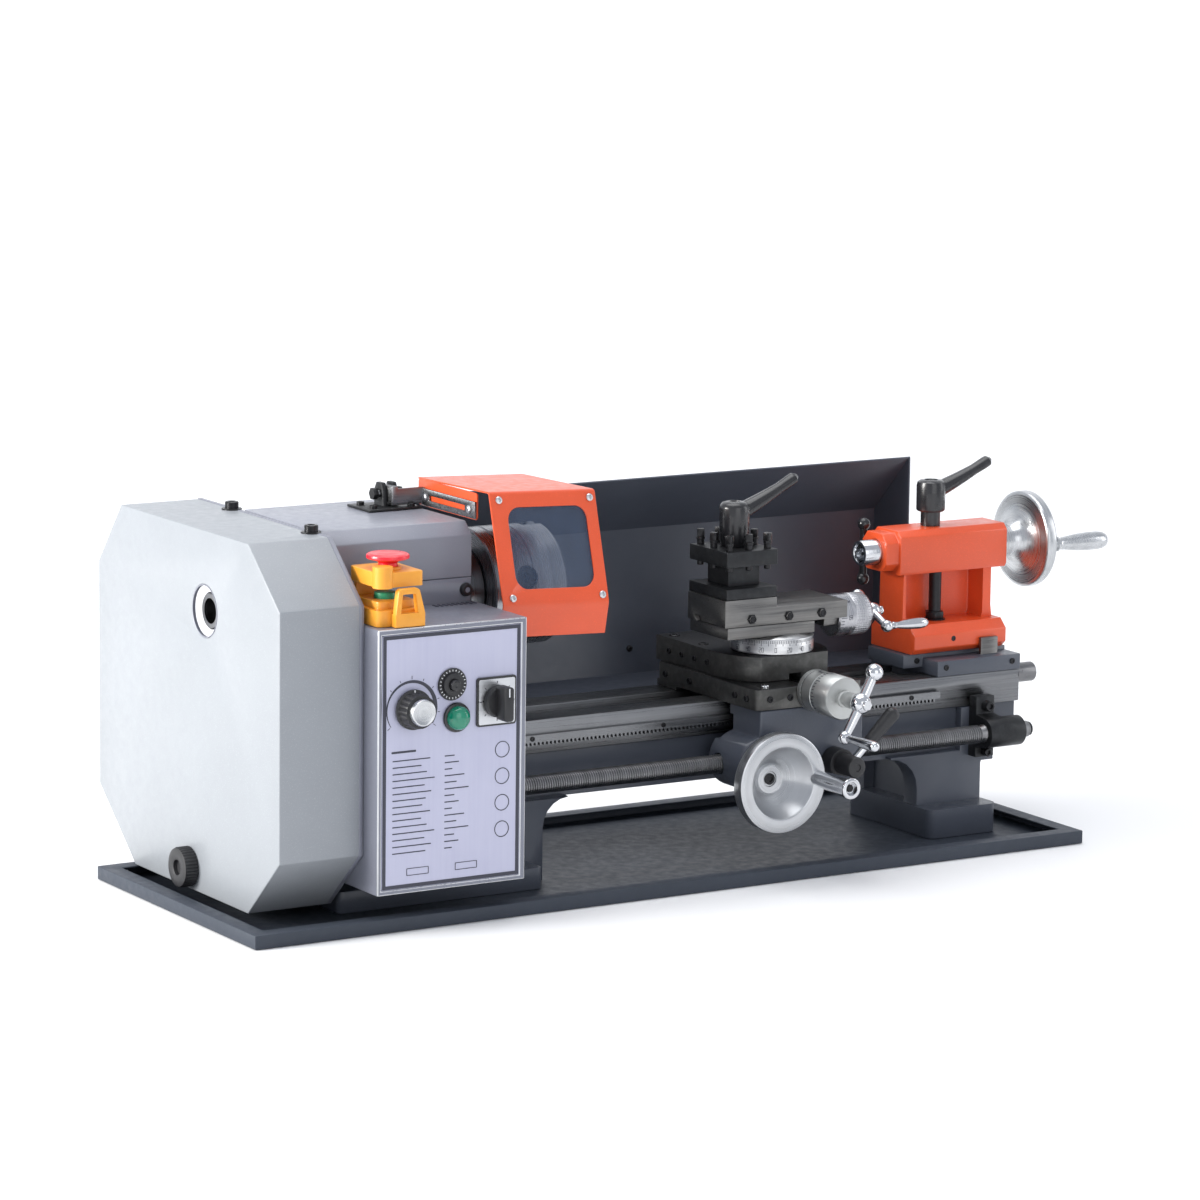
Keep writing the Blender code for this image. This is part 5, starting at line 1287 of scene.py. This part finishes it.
# every CAD node still showing gets a node material of its slot
BYSLOT = {"slate_paint": SLATE, "grey_paint": GREY, "orange_paint": ORANGE, "ground_steel": STEEL, "black_oxide": BLACK, "chrome": CHROME, "turned_aluminium": ALU_T,
          "black_plastic": PLASTIC, "yellow_plastic": YELLOW, "red_plastic": RED, "green_lens": GREEN, "panel_print": PANEL, "window_sheet": WINDOW, "belt_rubber": RUBBER, "gear_steel": GEARM}
for n, o in frame["nodes"].items():
    o.data.materials.clear()
    o.data.materials.append(BYSLOT[NODE_SLOT[n]])

# ================================================================ floor, light, camera
fl = bpy.data.meshes.new("floor")
prof = [(-9.0, 0.0), (6.6, 0.0)]
prof += [(6.6 + 1.4 * math.sin(math.radians(a)), 1.4 - 1.4 * math.cos(math.radians(a))) for a in range(6, 91, 6)]
prof += [(8.0, 9.0)]
verts, faces = [], []
for u, z in prof:
    for s in (-9.0, 9.0):
        verts.append((s, u, z - 0.0005))
for i in range(len(prof) - 1):
    faces.append((2 * i, 2 * i + 1, 2 * i + 3, 2 * i + 2))
fl.from_pydata(verts, [], faces)
for p in fl.polygons:
    p.use_smooth = True
FL = bpy.data.materials.new("pale_floor")
_nt, _b = nodes_of(FL)
_n = noise(_nt, coords(_nt), 3.0, 2.0, 0.5)
link(_nt, ramp(_nt, _n, [(0.3, grey(0.88)), (0.7, grey(0.90))]), _b.inputs["Base Color"])
_b.inputs["Roughness"].default_value = 0.7
_s = _nt.nodes.new("ShaderNodeSeparateXYZ")
link(_nt, coords(_nt), _s.inputs[0])
_m = _nt.nodes.new("ShaderNodeMapRange")
_m.inputs["From Min"].default_value = 0.8
_m.inputs["From Max"].default_value = 3.2
_m.inputs["To Min"].default_value = 0.0
_m.inputs["To Max"].default_value = 0.36
link(_nt, _s.outputs["Y"], _m.inputs["Value"])
_b.inputs["Emission Color"].default_value = (1.0, 1.0, 1.0, 1.0)
link(_nt, _m.outputs["Result"], _b.inputs["Emission Strength"])
fl.materials.append(FL)
floor = bpy.data.objects.new("floor", fl)
bpy.context.scene.collection.objects.link(floor)
YAW = math.radians(31.6647)
floor.rotation_euler = (0, 0, -YAW)

world = bpy.data.worlds.new("studio")
bpy.context.scene.world = world
world.use_nodes = True
world.node_tree.nodes["Background"].inputs["Color"].default_value = (0.95, 1.0, 1.10, 1)
world.node_tree.nodes["Background"].inputs["Strength"].default_value = 0.62


def area(name, loc, target, size, power, color=(1, 1, 1), size_y=None):
    l = bpy.data.lights.new(name, "AREA")
    l.energy = power
    l.size = size
    if size_y:
        l.shape = "RECTANGLE"
        l.size_y = size_y
    l.color = color
    o = bpy.data.objects.new(name, l)
    bpy.context.scene.collection.objects.link(o)
    o.location = loc
    o.rotation_mode = "QUATERNION"
    o.rotation_quaternion = (Vector(target) - Vector(loc)).to_track_quat("-Z", "Y")
    return o


area("key_left", (-3.1, 0.55, 1.0), (-0.1, 0, 0.15), 1.2, 150, (1.0, 0.985, 0.95))
area("top_soft", (0.0, 0.3, 2.6), (0, 0, 0.1), 2.2, 40)
area("front_fill", (-0.2, -3.2, 1.0), (0, 0, 0.15), 2.0, 16)
area("right_strip", (2.4, -1.2, 0.9), (0.1, 0, 0.2), 0.8, 10, (1, 1, 1), 1.6)

cam = bpy.data.cameras.new("camera")
cam.lens = 151.7136
cam.sensor_width = 36.0
cam.clip_start, cam.clip_end = 0.1, 60.0
co = bpy.data.objects.new("camera", cam)
bpy.context.scene.collection.objects.link(co)
PITCH, ROLL = math.radians(-9.8803), math.radians(0.7282)
fw = Vector((math.sin(YAW) * math.cos(PITCH), math.cos(YAW) * math.cos(PITCH), math.sin(PITCH)))
right = Vector((math.cos(YAW), -math.sin(YAW), 0))
up = right.cross(fw)
r = right * math.cos(ROLL) + up * math.sin(ROLL)
u = up * math.cos(ROLL) - right * math.sin(ROLL)
pos = Vector((0, 0, 0.2)) - fw * 4.2178 + r * -0.0014 + u * 0.0217
co.matrix_world = Matrix(((r.x, u.x, -fw.x, pos.x), (r.y, u.y, -fw.y, pos.y), (r.z, u.z, -fw.z, pos.z), (0, 0, 0, 1)))
bpy.context.scene.camera = co
bpy.context.scene.view_settings.view_transform = "Standard"
